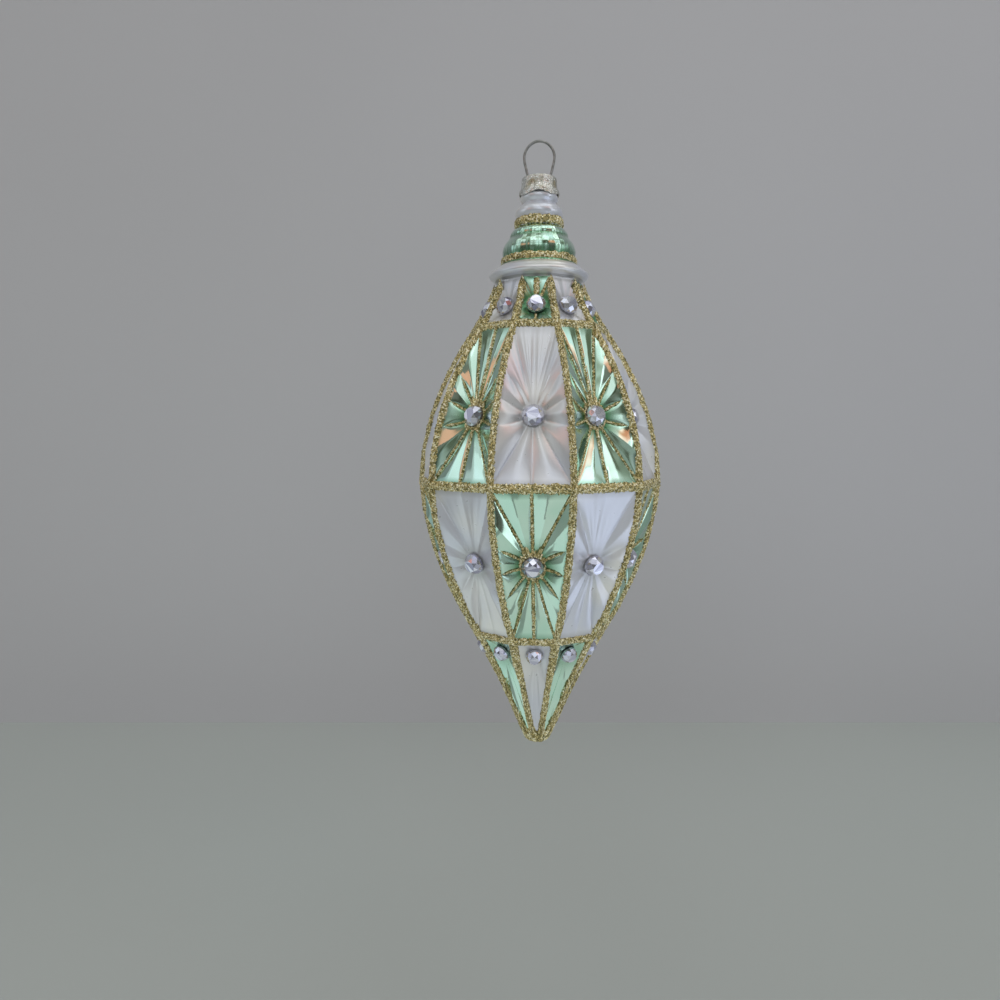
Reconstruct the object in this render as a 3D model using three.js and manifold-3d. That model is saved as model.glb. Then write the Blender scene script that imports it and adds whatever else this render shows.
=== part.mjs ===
import * as THREE from 'three';
import { mergeVertices } from 'three/addons/utils/BufferGeometryUtils.js';
import Module from 'manifold-3d';

const wasm = await Module();
wasm.setup();

// Driving sizes in millimetres. Heights add up from the tip, and the finished model hangs
// from the inside top of its wire ring, which is the origin.

// Glass body: ten flat-sided sectors in four rows of panels
const SECTORS = 10;
const TIP_DOME_HEIGHT = 1.4;
const TIP_RADIUS = 2.85;
const TIP_ROW_HEIGHT = 26.4;
const TIP_ROW_BOW = -0.6;
const LOWER_LINE_RADIUS = 16.0;
const LOWER_ROW_HEIGHT = 34.7;
const LOWER_ROW_BOW = 2.3;
const EQUATOR_RADIUS = 28.0;
const UPPER_ROW_HEIGHT = 35.0;
const UPPER_ROW_BOW = 2.9;
const UPPER_LINE_RADIUS = 15.4;
const SHOULDER_ROW_HEIGHT = 10.8;
const SHOULDER_ROW_BOW = -0.4;
const SHOULDER_RADIUS = 9.8;
const GLASS_WALL = 1.0;

// Star recesses: depth of the stone's seat under the flat panel, and relief of rays and bays
const TIP_SEAT_DEPTH = 0.5;
const LOWER_SEAT_DEPTH = 1.7;
const UPPER_SEAT_DEPTH = 2.6;
const SHOULDER_SEAT_DEPTH = 0.7;
const BIG_RAY_DEPTH = 0.45;
const SMALL_RAY_DEPTH = 0.2;
const BAY_RISE = 0.2;
const RAY_DEEPEST_SHARE = 0.45;

// Stones, set in flat round seats
const BIG_STONE_RADIUS = 2.35;
const BIG_STONE_HEIGHT = 1.9;
const SHOULDER_STONE_RADIUS = 2.15;
const SHOULDER_STONE_HEIGHT = 1.75;
const TIP_STONE_RADIUS = 1.95;
const TIP_STONE_HEIGHT = 1.6;
const STONE_TABLE_SHARE = 0.58;
const STONE_GIRDLE_SHARE = 0.3;
const STONE_FACETS = 8;
const SEAT_MARGIN = 0.3;
const GLUE_FILM = 0.2;
const TIP_STONE_BELOW_LINE = 3.9;
const LOWER_STONE_BELOW_LINE = 17.3;
const UPPER_STONE_ABOVE_LINE = 15.6;
const SHOULDER_STONE_ABOVE_LINE = 4.5;

// Glitter
const GLITTER_GAP = 0.2;
const RIB_HALF_WIDTH = 0.83;
const TIP_RIB_HALF_WIDTH = 0.6;
const RIB_CREST = 0.45;
const RIB_EDGE = 0.25;
const RIB_TOP_SHY = 0.4;
const TIP_GLITTER_HEIGHT = 2.2;
const STAR_THICKNESS = 0.3;
const STAR_RAY_HALF_WIDTH = 0.42;
const STAR_HUB_REACH = 0.9;
const STAR_STONE_CLEARANCE = 0.3;
const STAR_RIB_CLEARANCE = 0.3;
const RING_THICKNESS = 0.42;

// Neck, from the shoulder up: the height of each stretch, the radius at its end, and how far
// its middle bows out
const COLLAR_FLARE_HEIGHT = 2.3;
const COLLAR_FLARE_BOW = 0.1;
const COLLAR_RADIUS = 11.45;
const COLLAR_TOP_HEIGHT = 1.5;
const COLLAR_TOP_BOW = 0.5;
const COLLAR_TOP_RADIUS = 9.0;
const COLLAR_RING_HEIGHT = 1.9;
const COLLAR_RING_SEAT_RADIUS = 8.25;
const LOWER_TIER_HEIGHT = 4.5;
const LOWER_TIER_BOW = 0.75;
const TIER_CREASE_RADIUS = 6.8;
const UPPER_TIER_HEIGHT = 2.4;
const UPPER_TIER_BOW = 0.4;
const NECK_RING_HEIGHT = 1.9;
const NECK_RING_SEAT_RADIUS = 5.15;
const BULGE_HEIGHT = 3.3;
const BULGE_BOW = 0.7;
const GROOVE_HEIGHT = 0.5;
const GROOVE_RADIUS = 3.95;
const BEAD_HEIGHT = 2.4;
const BEAD_BOW = 0.35;
const SPOUT_HEIGHT = 2.7;
const SPOUT_RADIUS = 3.5;
const SPOUT_WALL = 0.55;
const SHOULDER_BORE_RISE = 0.5;

// Cap: a thin stamped shell that covers the spout
const CAP_WALL = 0.25;
const CAP_FIT = 0.2;
const CAP_HEIGHT = 4.45;
const CAP_SCALLOP = 0.65;
const CAP_SCALLOPS = 4;
const CAP_FLUTES = 8;
const CAP_FLUTE_DEPTH = 0.05;

// Spring wire hanger
const WIRE_RADIUS = 0.3;
const WIRE_HOLE_CLEARANCE = 0.3;
const FOOT_BORE_CLEARANCE = 0.2;
const LEG_BORE_CLEARANCE = 0.5;
const LEG_LENGTH = 16.0;
const LEG_POINT_SHARES = [1, 0.66, 0.33];
const RING_HALF_WIDTH = 3.5;
const RING_WIDEST_ABOVE_CAP = 4.5;
const RING_CROWN_HEIGHT = 3.85;
const RING_START_OUT_SHARE = 0.4;
const RING_START_UP_SHARE = 0.35;

// Fineness of the solids
const BOW_STEPS = 3;
const TIP_DOME_STEP = 0.5;
const MERGE_DISTANCE = 1e-4;
const STRAIGHT_TURN = 0.1;
const WIRE_SIDES = 8;
const WIRE_STEPS = 52;
const WIRE_HOLE_SIDES = 10;
const NECK_SEGMENTS = 40;
const BORE_SEGMENTS = 20;
const CAP_SEGMENTS = 32;
const HALF_SECTOR = Math.PI / SECTORS;
const FRONT = -Math.PI / 2;
const UP = new THREE.Vector3(0, 0, 1);

// Heights that follow from the sizes above
const TIP_Z = GLITTER_GAP + RIB_CREST;
const TIP_JOIN_Z = TIP_Z + TIP_DOME_HEIGHT;
const LOWER_LINE_Z = TIP_JOIN_Z + TIP_ROW_HEIGHT;
const EQUATOR_Z = LOWER_LINE_Z + LOWER_ROW_HEIGHT;
const UPPER_LINE_Z = EQUATOR_Z + UPPER_ROW_HEIGHT;
const SHOULDER_Z = UPPER_LINE_Z + SHOULDER_ROW_HEIGHT;
const COLLAR_Z = SHOULDER_Z + COLLAR_FLARE_HEIGHT;
const COLLAR_RING_Z = COLLAR_Z + COLLAR_TOP_HEIGHT;
const LOWER_TIER_Z = COLLAR_RING_Z + COLLAR_RING_HEIGHT;
const UPPER_TIER_Z = LOWER_TIER_Z + LOWER_TIER_HEIGHT;
const NECK_RING_Z = UPPER_TIER_Z + UPPER_TIER_HEIGHT;
const BULGE_Z = NECK_RING_Z + NECK_RING_HEIGHT;
const GROOVE_Z = BULGE_Z + BULGE_HEIGHT;
const BEAD_Z = GROOVE_Z + GROOVE_HEIGHT;
const SPOUT_Z = BEAD_Z + BEAD_HEIGHT;
const RIM_Z = SPOUT_Z + SPOUT_HEIGHT;
const CAP_TOP_Z = RIM_Z + CAP_FIT + CAP_WALL;
const BORE_RADIUS = SPOUT_RADIUS - SPOUT_WALL;
const FOOT_X = BORE_RADIUS - WIRE_RADIUS - FOOT_BORE_CLEARANCE;
const LEG_X = BORE_RADIUS - WIRE_RADIUS - LEG_BORE_CLEARANCE;
const RING_WIDEST_Z = CAP_TOP_Z + RING_WIDEST_ABOVE_CAP;
const HOOK_Z = RING_WIDEST_Z + RING_CROWN_HEIGHT - WIRE_RADIUS;

// Panel rows from the tip up. Border points go alternately to a ray and to a bay of the star:
// bottom and top are shares of the half width, sides are shares of the row's height.
const FULL_ENDS = [-1, -0.5, 0, 0.5, 1];
const STAR_SIDES = [0.18, 0.36, 0.45, 0.54, 0.635, 0.73, 0.865];
const PLAIN_SIDES = [0.25, 0.5, 0.75];
const ROWS = [
  {
    name: 'tip',
    z: TIP_JOIN_Z,
    height: TIP_ROW_HEIGHT,
    radii: [TIP_RADIUS, LOWER_LINE_RADIUS],
    bow: TIP_ROW_BOW,
    bottom: [-1, 0, 1],
    sides: PLAIN_SIDES,
    stoneZ: LOWER_LINE_Z - TIP_STONE_BELOW_LINE,
    seatDepth: TIP_SEAT_DEPTH,
    rayDepth: SMALL_RAY_DEPTH,
    stoneRadius: TIP_STONE_RADIUS,
    stoneHeight: TIP_STONE_HEIGHT,
    innerSides: [0.5],
  },
  {
    name: 'lower',
    z: LOWER_LINE_Z,
    height: LOWER_ROW_HEIGHT,
    radii: [LOWER_LINE_RADIUS, EQUATOR_RADIUS],
    bow: LOWER_ROW_BOW,
    bottom: FULL_ENDS,
    sides: STAR_SIDES.map((share) => 1 - share).reverse(),
    stoneZ: EQUATOR_Z - LOWER_STONE_BELOW_LINE,
    seatDepth: LOWER_SEAT_DEPTH,
    rayDepth: BIG_RAY_DEPTH,
    stoneRadius: BIG_STONE_RADIUS,
    stoneHeight: BIG_STONE_HEIGHT,
    innerSides: [1 / 3, 2 / 3],
  },
  {
    name: 'upper',
    z: EQUATOR_Z,
    height: UPPER_ROW_HEIGHT,
    radii: [EQUATOR_RADIUS, UPPER_LINE_RADIUS],
    bow: UPPER_ROW_BOW,
    bottom: FULL_ENDS,
    sides: STAR_SIDES,
    stoneZ: EQUATOR_Z + UPPER_STONE_ABOVE_LINE,
    seatDepth: UPPER_SEAT_DEPTH,
    rayDepth: BIG_RAY_DEPTH,
    stoneRadius: BIG_STONE_RADIUS,
    stoneHeight: BIG_STONE_HEIGHT,
    innerSides: [1 / 3, 2 / 3],
  },
  {
    name: 'shoulder',
    z: UPPER_LINE_Z,
    height: SHOULDER_ROW_HEIGHT,
    radii: [UPPER_LINE_RADIUS, SHOULDER_RADIUS],
    bow: SHOULDER_ROW_BOW,
    bottom: FULL_ENDS,
    sides: PLAIN_SIDES,
    stoneZ: UPPER_LINE_Z + SHOULDER_STONE_ABOVE_LINE,
    seatDepth: SHOULDER_SEAT_DEPTH,
    rayDepth: SMALL_RAY_DEPTH,
    stoneRadius: SHOULDER_STONE_RADIUS,
    stoneHeight: SHOULDER_STONE_HEIGHT,
    innerSides: [0.5],
  },
];

// Finishes: colour, roughness and metalness
const GLASS_FINISH = ['#b9d8c8', 0.15, 0.6];
const GLITTER_FINISH = ['#9a8440', 0.5, 0.8];
const STONE_FINISH = ['#c9cbe0', 0.05, 0.4];
const CAP_FINISH = ['#b9b6a8', 0.3, 0.95];
const WIRE_FINISH = ['#7d7c78', 0.35, 1.0];

const ornament = new THREE.Group();
ornament.position.z = -HOOK_Z;

function addMesh(name, geometry, [color, roughness, metalness]) {
  const material = new THREE.MeshStandardMaterial({ color, roughness, metalness });
  const mesh = new THREE.Mesh(geometry, material);
  mesh.name = name;
  ornament.add(mesh);
  return mesh;
}

// Triangle soup that becomes one closed geometry
class Skin {
  constructor() {
    this.positions = [];
  }

  triangle(a, b, c) {
    for (const corner of [a, b, c]) {
      this.positions.push(corner.x, corner.y, corner.z);
    }
  }

  fan(points) {
    for (let i = 1; i < points.length - 1; i += 1) {
      this.triangle(points[0], points[i], points[i + 1]);
    }
  }

  // Joins two rings that run the same way round, low one first, whatever their counts
  zip(low, high) {
    let i = 0;
    let j = 0;
    while (i < low.length || j < high.length) {
      const stepLow = j === high.length || (i < low.length && (i + 1) / low.length <= (j + 1) / high.length);
      const a = low[i % low.length];
      const b = high[j % high.length];
      if (stepLow) {
        i += 1;
        this.triangle(a, low[i % low.length], b);
      } else {
        j += 1;
        this.triangle(a, high[j % high.length], b);
      }
    }
  }

  geometry() {
    const soup = new THREE.BufferGeometry();
    soup.setAttribute('position', new THREE.Float32BufferAttribute(this.positions, 3));
    const merged = mergeVertices(soup, MERGE_DISTANCE);
    merged.computeVertexNormals();
    return merged;
  }
}

// A thin layer over a surface: faces share points, and each point has a place below and on top
class Layer {
  constructor() {
    this.points = [];
    this.faces = [];
    this.known = new Map();
  }

  point(below, above) {
    const key = below.toArray().map((value) => Math.round(value / MERGE_DISTANCE)).join();
    if (!this.known.has(key)) {
      this.known.set(key, this.points.length);
      this.points.push({ below, above });
    }
    return this.known.get(key);
  }

  face(...corners) {
    for (let i = 1; i < corners.length - 1; i += 1) {
      this.faces.push([corners[0], corners[i], corners[i + 1]]);
    }
  }

  geometry() {
    const skin = new Skin();
    const edges = new Map();
    for (const face of this.faces) {
      const [a, b, c] = face.map((index) => this.points[index]);
      skin.triangle(a.above, b.above, c.above);
      skin.triangle(c.below, b.below, a.below);
      face.forEach((from, i) => {
        const to = face[(i + 1) % face.length];
        edges.set(`${from} ${to}`, [from, to]);
      });
    }
    for (const [from, to] of edges.values()) {
      if (!edges.has(`${to} ${from}`)) {
        const [a, b] = [this.points[from], this.points[to]];
        skin.fan([a.below, b.below, b.above, a.above]);
      }
    }
    return skin.geometry();
  }
}

function polar(radius, angle, z) {
  return new THREE.Vector3(radius * Math.cos(angle), radius * Math.sin(angle), z);
}

function ring(radius, z, segments) {
  return Array.from({ length: segments }, (_, i) => {
    const angle = FRONT - HALF_SECTOR + (2 * Math.PI * i) / segments;
    return polar(radius, angle, z);
  });
}

// Radius along a stretch whose middle stands a bow's width out of the straight line
function bowedRadius([from, to], bow, share) {
  return THREE.MathUtils.lerp(from, to, share) + 4 * bow * share * (1 - share);
}

function ridgeRadius(z) {
  const row = ROWS.find(({ z: base, height }) => z < base + height) ?? ROWS[ROWS.length - 1];
  return bowedRadius(row.radii, row.bow, (z - row.z) / row.height);
}

function ridgeSlope(z) {
  const step = 0.25;
  const low = Math.max(z - step, TIP_JOIN_Z);
  const high = Math.min(z + step, SHOULDER_Z);
  return (ridgeRadius(high) - ridgeRadius(low)) / (high - low);
}

// Outward direction of the ridge line at a height, square to it
function ridgeNormal(angle, z) {
  return polar(1, angle, -ridgeSlope(z)).normalize();
}

function ridgePoint(angle, z, lift = 0) {
  return polar(ridgeRadius(z), angle, z).addScaledVector(ridgeNormal(angle, z), lift);
}

// Corners, ends and sides of a panel as a closed loop, counterclockwise from outside
function borderLoop(bottom, sides, top) {
  return [
    ...bottom.map((u) => [u, 0]),
    ...sides.map((v) => [1, v]),
    ...top.map((u) => [-u, 1]),
    ...sides.map((v) => [-1, v]).reverse(),
  ];
}

class Panel {
  constructor(row, sector) {
    this.row = row;
    this.sector = sector;
    this.angle = FRONT + (2 * Math.PI * sector) / SECTORS;
    this.green = (sector + ROWS.indexOf(row)) % 2 === 1;
    this.out = polar(1, this.angle, 0);
    this.across = polar(1, this.angle + Math.PI / 2, 0);
    const slope = ridgeSlope(row.stoneZ) * Math.cos(HALF_SECTOR);
    this.normal = this.out.clone().addScaledVector(UP, -slope).normalize();
    this.along = new THREE.Vector3().crossVectors(this.normal, this.across);
    this.seatRadius = row.stoneRadius + SEAT_MARGIN;
    this.seat = this.flatPoint(0, row.stoneZ).addScaledVector(this.normal, -row.seatDepth);
    this.border = borderLoop(row.bottom, row.sides, FULL_ENDS).map(([u, v]) => {
      return this.toSeat(this.borderPoint(u, v));
    });
    this.hub = this.border.map((point) => this.hubPoint(point));
    this.mid = this.border.map((point, i) => this.midPoint(point, i));
  }

  // Point of the flat panel before its star is pressed in
  flatPoint(u, z) {
    const radius = ridgeRadius(z);
    return this.out.clone().multiplyScalar(radius * Math.cos(HALF_SECTOR))
      .addScaledVector(this.across, u * radius * Math.sin(HALF_SECTOR))
      .addScaledVector(UP, z);
  }

  borderPoint(u, v) {
    return this.flatPoint(u, this.row.z + v * this.row.height);
  }

  // Seat coordinates: x across, y up the panel, z out of it, from the centre of the seat
  toSeat(point) {
    const offset = point.clone().sub(this.seat);
    return new THREE.Vector3(offset.dot(this.across), offset.dot(this.along), offset.dot(this.normal));
  }

  toModel({ x, y, z }) {
    return this.seat.clone()
      .addScaledVector(this.across, x)
      .addScaledVector(this.along, y)
      .addScaledVector(this.normal, z);
  }

  hubPoint({ x, y }, radius = this.seatRadius) {
    return new THREE.Vector3(x, y, 0).setLength(radius);
  }

  isRay(i) {
    return i % 2 === 0;
  }

  midPoint(border, i) {
    const mid = this.hub[i].clone().lerp(border, RAY_DEEPEST_SHARE);
    mid.z += this.isRay(i) ? -this.row.rayDepth : BAY_RISE;
    return mid;
  }

  // Facets of the pressed star. Each four-sided facet is creased from the ray's deepest point.
  facets() {
    const { border, mid, hub } = this;
    const centre = new THREE.Vector3();
    return border.flatMap((_, i) => {
      const j = (i + 1) % border.length;
      const outer = this.isRay(i)
        ? [[border[i], border[j], mid[i]], [border[j], mid[j], mid[i]]]
        : [[border[i], mid[j], mid[i]], [border[i], border[j], mid[j]]];
      const inner = this.isRay(i)
        ? [[mid[i], mid[j], hub[j]], [mid[i], hub[j], hub[i]]]
        : [[mid[j], hub[i], mid[i]], [mid[j], hub[j], hub[i]]];
      return [...outer, ...inner, [hub[i], hub[j], centre]];
    });
  }

  // Height of the pressed glass at a place, found on the facet that covers it
  surface(x, y) {
    const place = new THREE.Vector3(x, y, 0);
    const weights = new THREE.Vector3();
    for (const facet of this.facets()) {
      const flat = facet.map((corner) => corner.clone().setZ(0));
      THREE.Triangle.getBarycoord(place, ...flat, weights);
      if (Math.min(weights.x, weights.y, weights.z) > -1e-6) {
        return weights.x * facet[0].z + weights.y * facet[1].z + weights.z * facet[2].z;
      }
    }
    return 0;
  }

  onSurface(x, y, lift) {
    return this.toModel(new THREE.Vector3(x, y, this.surface(x, y) + lift));
  }
}

const panels = ROWS.flatMap((row) => Array.from({ length: SECTORS }, (_, sector) => new Panel(row, sector)));

// Glass body. Corners of the neck from the shoulder up: height, radius, and the bow of the
// stretch that ends there
const NECK_CORNERS = [
  [SHOULDER_Z, SHOULDER_RADIUS, 0],
  [COLLAR_Z, COLLAR_RADIUS, COLLAR_FLARE_BOW],
  [COLLAR_RING_Z, COLLAR_TOP_RADIUS, COLLAR_TOP_BOW],
  [COLLAR_RING_Z, COLLAR_RING_SEAT_RADIUS, 0],
  [LOWER_TIER_Z, COLLAR_RING_SEAT_RADIUS, 0],
  [UPPER_TIER_Z, TIER_CREASE_RADIUS, LOWER_TIER_BOW],
  [NECK_RING_Z, NECK_RING_SEAT_RADIUS, UPPER_TIER_BOW],
  [BULGE_Z, NECK_RING_SEAT_RADIUS, 0],
  [GROOVE_Z, GROOVE_RADIUS, BULGE_BOW],
  [BEAD_Z, GROOVE_RADIUS, 0],
  [SPOUT_Z, SPOUT_RADIUS, BEAD_BOW],
  [RIM_Z, SPOUT_RADIUS, 0],
];

const neckProfile = NECK_CORNERS.slice(1).flatMap(([z, radius, bow], i) => {
  const [lowZ, lowRadius] = NECK_CORNERS[i];
  const steps = bow === 0 ? 1 : BOW_STEPS;
  return Array.from({ length: steps }, (_, k) => {
    const share = (k + 1) / steps;
    return [THREE.MathUtils.lerp(lowZ, z, share), bowedRadius([lowRadius, radius], bow, share)];
  });
});

const boreProfile = [
  [RIM_Z, BORE_RADIUS],
  [GROOVE_Z, BORE_RADIUS],
  [BULGE_Z, NECK_RING_SEAT_RADIUS - GLASS_WALL],
  [NECK_RING_Z, NECK_RING_SEAT_RADIUS - GLASS_WALL],
  [LOWER_TIER_Z, COLLAR_RING_SEAT_RADIUS - GLASS_WALL],
  [COLLAR_RING_Z, COLLAR_RING_SEAT_RADIUS - GLASS_WALL],
  [SHOULDER_Z + SHOULDER_BORE_RISE, SHOULDER_RADIUS - GLASS_WALL],
];

// Flat-sided ring at one of the body's lines, with the same points as the panels there
function lineRing(z, ends) {
  return panels.filter(({ row }) => row === ROWS[0])
    .flatMap((panel) => ends.slice(0, -1).map((u) => panel.flatPoint(u, z)));
}

function domeRing(line, share) {
  const lift = Math.sin((share * Math.PI) / 2) * TIP_DOME_HEIGHT;
  const width = Math.cos((share * Math.PI) / 2);
  return line.map(({ x, y }) => new THREE.Vector3(x * width, y * width, TIP_JOIN_Z - lift));
}

const INNER_RIDGE_LIFT = -GLASS_WALL / Math.cos(HALF_SECTOR);

function innerRing(z) {
  return Array.from({ length: SECTORS }, (_, i) => {
    return ridgePoint(FRONT - HALF_SECTOR + (2 * Math.PI * i) / SECTORS, z, INNER_RIDGE_LIFT);
  });
}

function addInnerPanel(skin, panel) {
  const { row, angle } = panel;
  const loop = borderLoop([-1, 1], row.innerSides, [-1, 1]).map(([u, v]) => {
    return ridgePoint(angle + u * HALF_SECTOR, row.z + v * row.height, INNER_RIDGE_LIFT);
  });
  const hub = loop.map((point) => {
    const seatPoint = panel.hubPoint(panel.toSeat(point));
    seatPoint.z = -GLASS_WALL;
    return panel.toModel(seatPoint);
  });
  skin.zip(hub, loop);
  skin.fan(hub.slice().reverse());
}

function makeGlassBody() {
  const skin = new Skin();
  for (const panel of panels) {
    for (const facet of panel.facets()) {
      skin.triangle(...facet.map((corner) => panel.toModel(corner)));
    }
    addInnerPanel(skin, panel);
  }

  const tipLine = lineRing(TIP_JOIN_Z, ROWS[0].bottom);
  const domeLine = domeRing(tipLine, TIP_DOME_STEP);
  const tipPoint = new THREE.Vector3(0, 0, TIP_Z);
  skin.zip(domeLine, tipLine);
  domeLine.forEach((point, i) => {
    skin.triangle(tipPoint, domeLine[(i + 1) % domeLine.length], point);
  });
  const innerTip = innerRing(TIP_JOIN_Z);
  const innerTipPoint = new THREE.Vector3(0, 0, TIP_Z + GLASS_WALL);
  innerTip.forEach((point, i) => {
    skin.triangle(innerTipPoint, point, innerTip[(i + 1) % innerTip.length]);
  });

  const outside = [
    lineRing(SHOULDER_Z, FULL_ENDS),
    ...neckProfile.map(([z, radius]) => ring(radius, z, NECK_SEGMENTS)),
  ];
  const inside = [
    ...boreProfile.map(([z, radius]) => ring(radius, z, BORE_SEGMENTS)),
    innerRing(SHOULDER_Z),
  ];
  const rings = [...outside, ...inside];
  for (let i = 0; i < rings.length - 1; i += 1) {
    skin.zip(rings[i], rings[i + 1]);
  }
  return skin.geometry();
}

addMesh('glass_body', makeGlassBody(), GLASS_FINISH);

// Stones: a girdle, a faceted crown and a flat table, lying on the seat's glue film
function makeStone(radius, height) {
  const girdle = height * STONE_GIRDLE_SHARE;
  const profile = [[0, 0], [radius, 0], [radius, girdle], [radius * STONE_TABLE_SHARE, height], [0, height]];
  const stone = new THREE.LatheGeometry(profile.map(([x, y]) => new THREE.Vector2(x, y)), STONE_FACETS);
  return stone.rotateX(Math.PI / 2);
}

for (const panel of panels) {
  const { row, sector } = panel;
  const number = String(sector + 1).padStart(2, '0');
  const shape = makeStone(row.stoneRadius, row.stoneHeight);
  const stone = addMesh(`${row.name}_stone_${number}`, shape, STONE_FINISH);
  const turn = new THREE.Matrix4().makeBasis(panel.across, panel.along, panel.normal);
  stone.quaternion.setFromRotationMatrix(turn);
  stone.position.copy(panel.toModel(new THREE.Vector3(0, 0, GLUE_FILM)));
}

// Glitter lattice: ribs on the ridges, rings on the lines between the rows, and the covered tip
function insetCorner(before, corner, after, distanceBefore, distanceAfter) {
  const inward = (from, to) => new THREE.Vector2(from.y - to.y, to.x - from.x).normalize();
  const a = inward(before, corner);
  const b = inward(corner, after);
  const turn = a.x * b.y - a.y * b.x;
  if (Math.abs(turn) < STRAIGHT_TURN) {
    const middle = a.add(b).normalize();
    return new THREE.Vector2(corner.x, corner.y).addScaledVector(middle, distanceAfter);
  }
  return new THREE.Vector2(
    corner.x + (distanceBefore * b.y - distanceAfter * a.y) / turn,
    corner.y + (distanceAfter * a.x - distanceBefore * b.x) / turn,
  );
}

function latticeFrame(layer, panel) {
  const { row, angle } = panel;
  const isTip = row === ROWS[0];
  const isTop = row === ROWS[ROWS.length - 1];
  const topShare = isTop ? 1 - RIB_TOP_SHY / row.height : 1;
  const loop = borderLoop([-1, 1], row.sides, [-1, 1]).map(([u, v]) => [u, v === 1 ? topShare : v]);
  const corners = loop.map(([u, v]) => panel.toSeat(panel.borderPoint(u, v)));
  const bottomEdge = 0;
  const topEdge = 1 + row.sides.length + 1;
  const widths = corners.map((_, i) => {
    if (i === bottomEdge && isTip) {
      return TIP_GLITTER_HEIGHT;
    }
    if (i === topEdge) {
      return isTop ? 0 : RIB_HALF_WIDTH;
    }
    return isTip ? TIP_RIB_HALF_WIDTH : RIB_HALF_WIDTH;
  });
  const count = corners.length;
  const outer = loop.map(([u, v]) => {
    const turned = angle + u * HALF_SECTOR;
    const z = row.z + v * row.height;
    const below = ridgePoint(turned, z, GLITTER_GAP);
    return layer.point(below, ridgePoint(turned, z, GLITTER_GAP + RIB_CREST));
  });
  const inner = corners.map((corner, i) => {
    const previous = (i + count - 1) % count;
    const next = corners[(i + 1) % count];
    const { x, y } = insetCorner(corners[previous], corner, next, widths[previous], widths[i]);
    const below = panel.onSurface(x, y, GLITTER_GAP);
    return layer.point(below, panel.onSurface(x, y, GLITTER_GAP + RIB_EDGE));
  });
  corners.forEach((_, i) => {
    const next = (i + 1) % count;
    if (!(isTop && i === topEdge)) {
      layer.face(outer[i], outer[next], inner[next], inner[i]);
    }
  });
}

function latticeTip(layer) {
  const angles = Array.from({ length: SECTORS }, (_, i) => {
    return FRONT - HALF_SECTOR + (2 * Math.PI * i) / SECTORS;
  });
  const bend = (TIP_DOME_STEP * Math.PI) / 2;
  const line = angles.map((angle) => {
    const below = ridgePoint(angle, TIP_JOIN_Z, GLITTER_GAP);
    return layer.point(below, ridgePoint(angle, TIP_JOIN_Z, GLITTER_GAP + RIB_CREST));
  });
  const dome = angles.map((angle) => {
    const out = polar(Math.cos(bend), angle, -Math.sin(bend));
    const glass = polar(TIP_RADIUS * Math.cos(bend), angle, TIP_JOIN_Z - TIP_DOME_HEIGHT * Math.sin(bend));
    const below = glass.clone().addScaledVector(out, GLITTER_GAP);
    return layer.point(below, glass.clone().addScaledVector(out, GLITTER_GAP + RIB_CREST));
  });
  const end = layer.point(new THREE.Vector3(0, 0, TIP_Z - GLITTER_GAP), new THREE.Vector3(0, 0, 0));
  angles.forEach((_, i) => {
    const next = (i + 1) % SECTORS;
    layer.face(dome[i], dome[next], line[next], line[i]);
    layer.face(end, dome[next], dome[i]);
  });
}

const lattice = new Layer();
panels.forEach((panel) => latticeFrame(lattice, panel));
latticeTip(lattice);
addMesh('glitter_lattice', lattice.geometry(), GLITTER_FINISH);

// Glitter stars on the green panels of the two big rows: a collar round the stone and pointed rays
function makeStar(panel) {
  const { border, mid } = panel;
  const layer = new Layer();
  const place = (x, y) => {
    const below = panel.onSurface(x, y, GLITTER_GAP);
    return layer.point(below, panel.onSurface(x, y, GLITTER_GAP + STAR_THICKNESS));
  };
  const count = border.length;
  const bays = border.map((_, i) => i).filter((i) => !panel.isRay(i));
  const onCircle = (i, radius) => {
    const { x, y } = panel.hubPoint(border[i], radius);
    return place(x, y);
  };
  const inner = bays.map((i) => onCircle(i, panel.row.stoneRadius + STAR_STONE_CLEARANCE));
  const outer = bays.map((i) => onCircle(i, panel.seatRadius + STAR_HUB_REACH));
  bays.forEach((bay, k) => {
    const next = (k + 1) % bays.length;
    const ray = (bay + 1) % count;
    layer.face(inner[k], outer[k], outer[next], inner[next]);
    const [end, deepest] = [border[ray], mid[ray]];
    const back = new THREE.Vector2(deepest.x - end.x, deepest.y - end.y).normalize();
    const edgeAngles = [border[bay], border[(ray + 1) % count]].map((neighbour) => {
      const edge = new THREE.Vector2(neighbour.x - end.x, neighbour.y - end.y).normalize();
      return Math.abs(edge.cross(back));
    });
    const shy = (RIB_HALF_WIDTH + STAR_RIB_CLEARANCE) / Math.min(...edgeAngles);
    const tip = place(end.x + back.x * shy, end.y + back.y * shy);
    const side = new THREE.Vector2(back.y, -back.x).multiplyScalar(STAR_RAY_HALF_WIDTH);
    const right = place(deepest.x + side.x, deepest.y + side.y);
    const left = place(deepest.x - side.x, deepest.y - side.y);
    layer.face(outer[k], left, right, outer[next]);
    layer.face(left, tip, right);
  });
  return layer.geometry();
}

const starPanels = panels.filter(({ row, green }) => green && row.sides.length === STAR_SIDES.length);
for (const panel of starPanels) {
  const number = String(panel.sector + 1).padStart(2, '0');
  addMesh(`${panel.row.name}_star_${number}`, makeStar(panel), GLITTER_FINISH);
}

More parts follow.
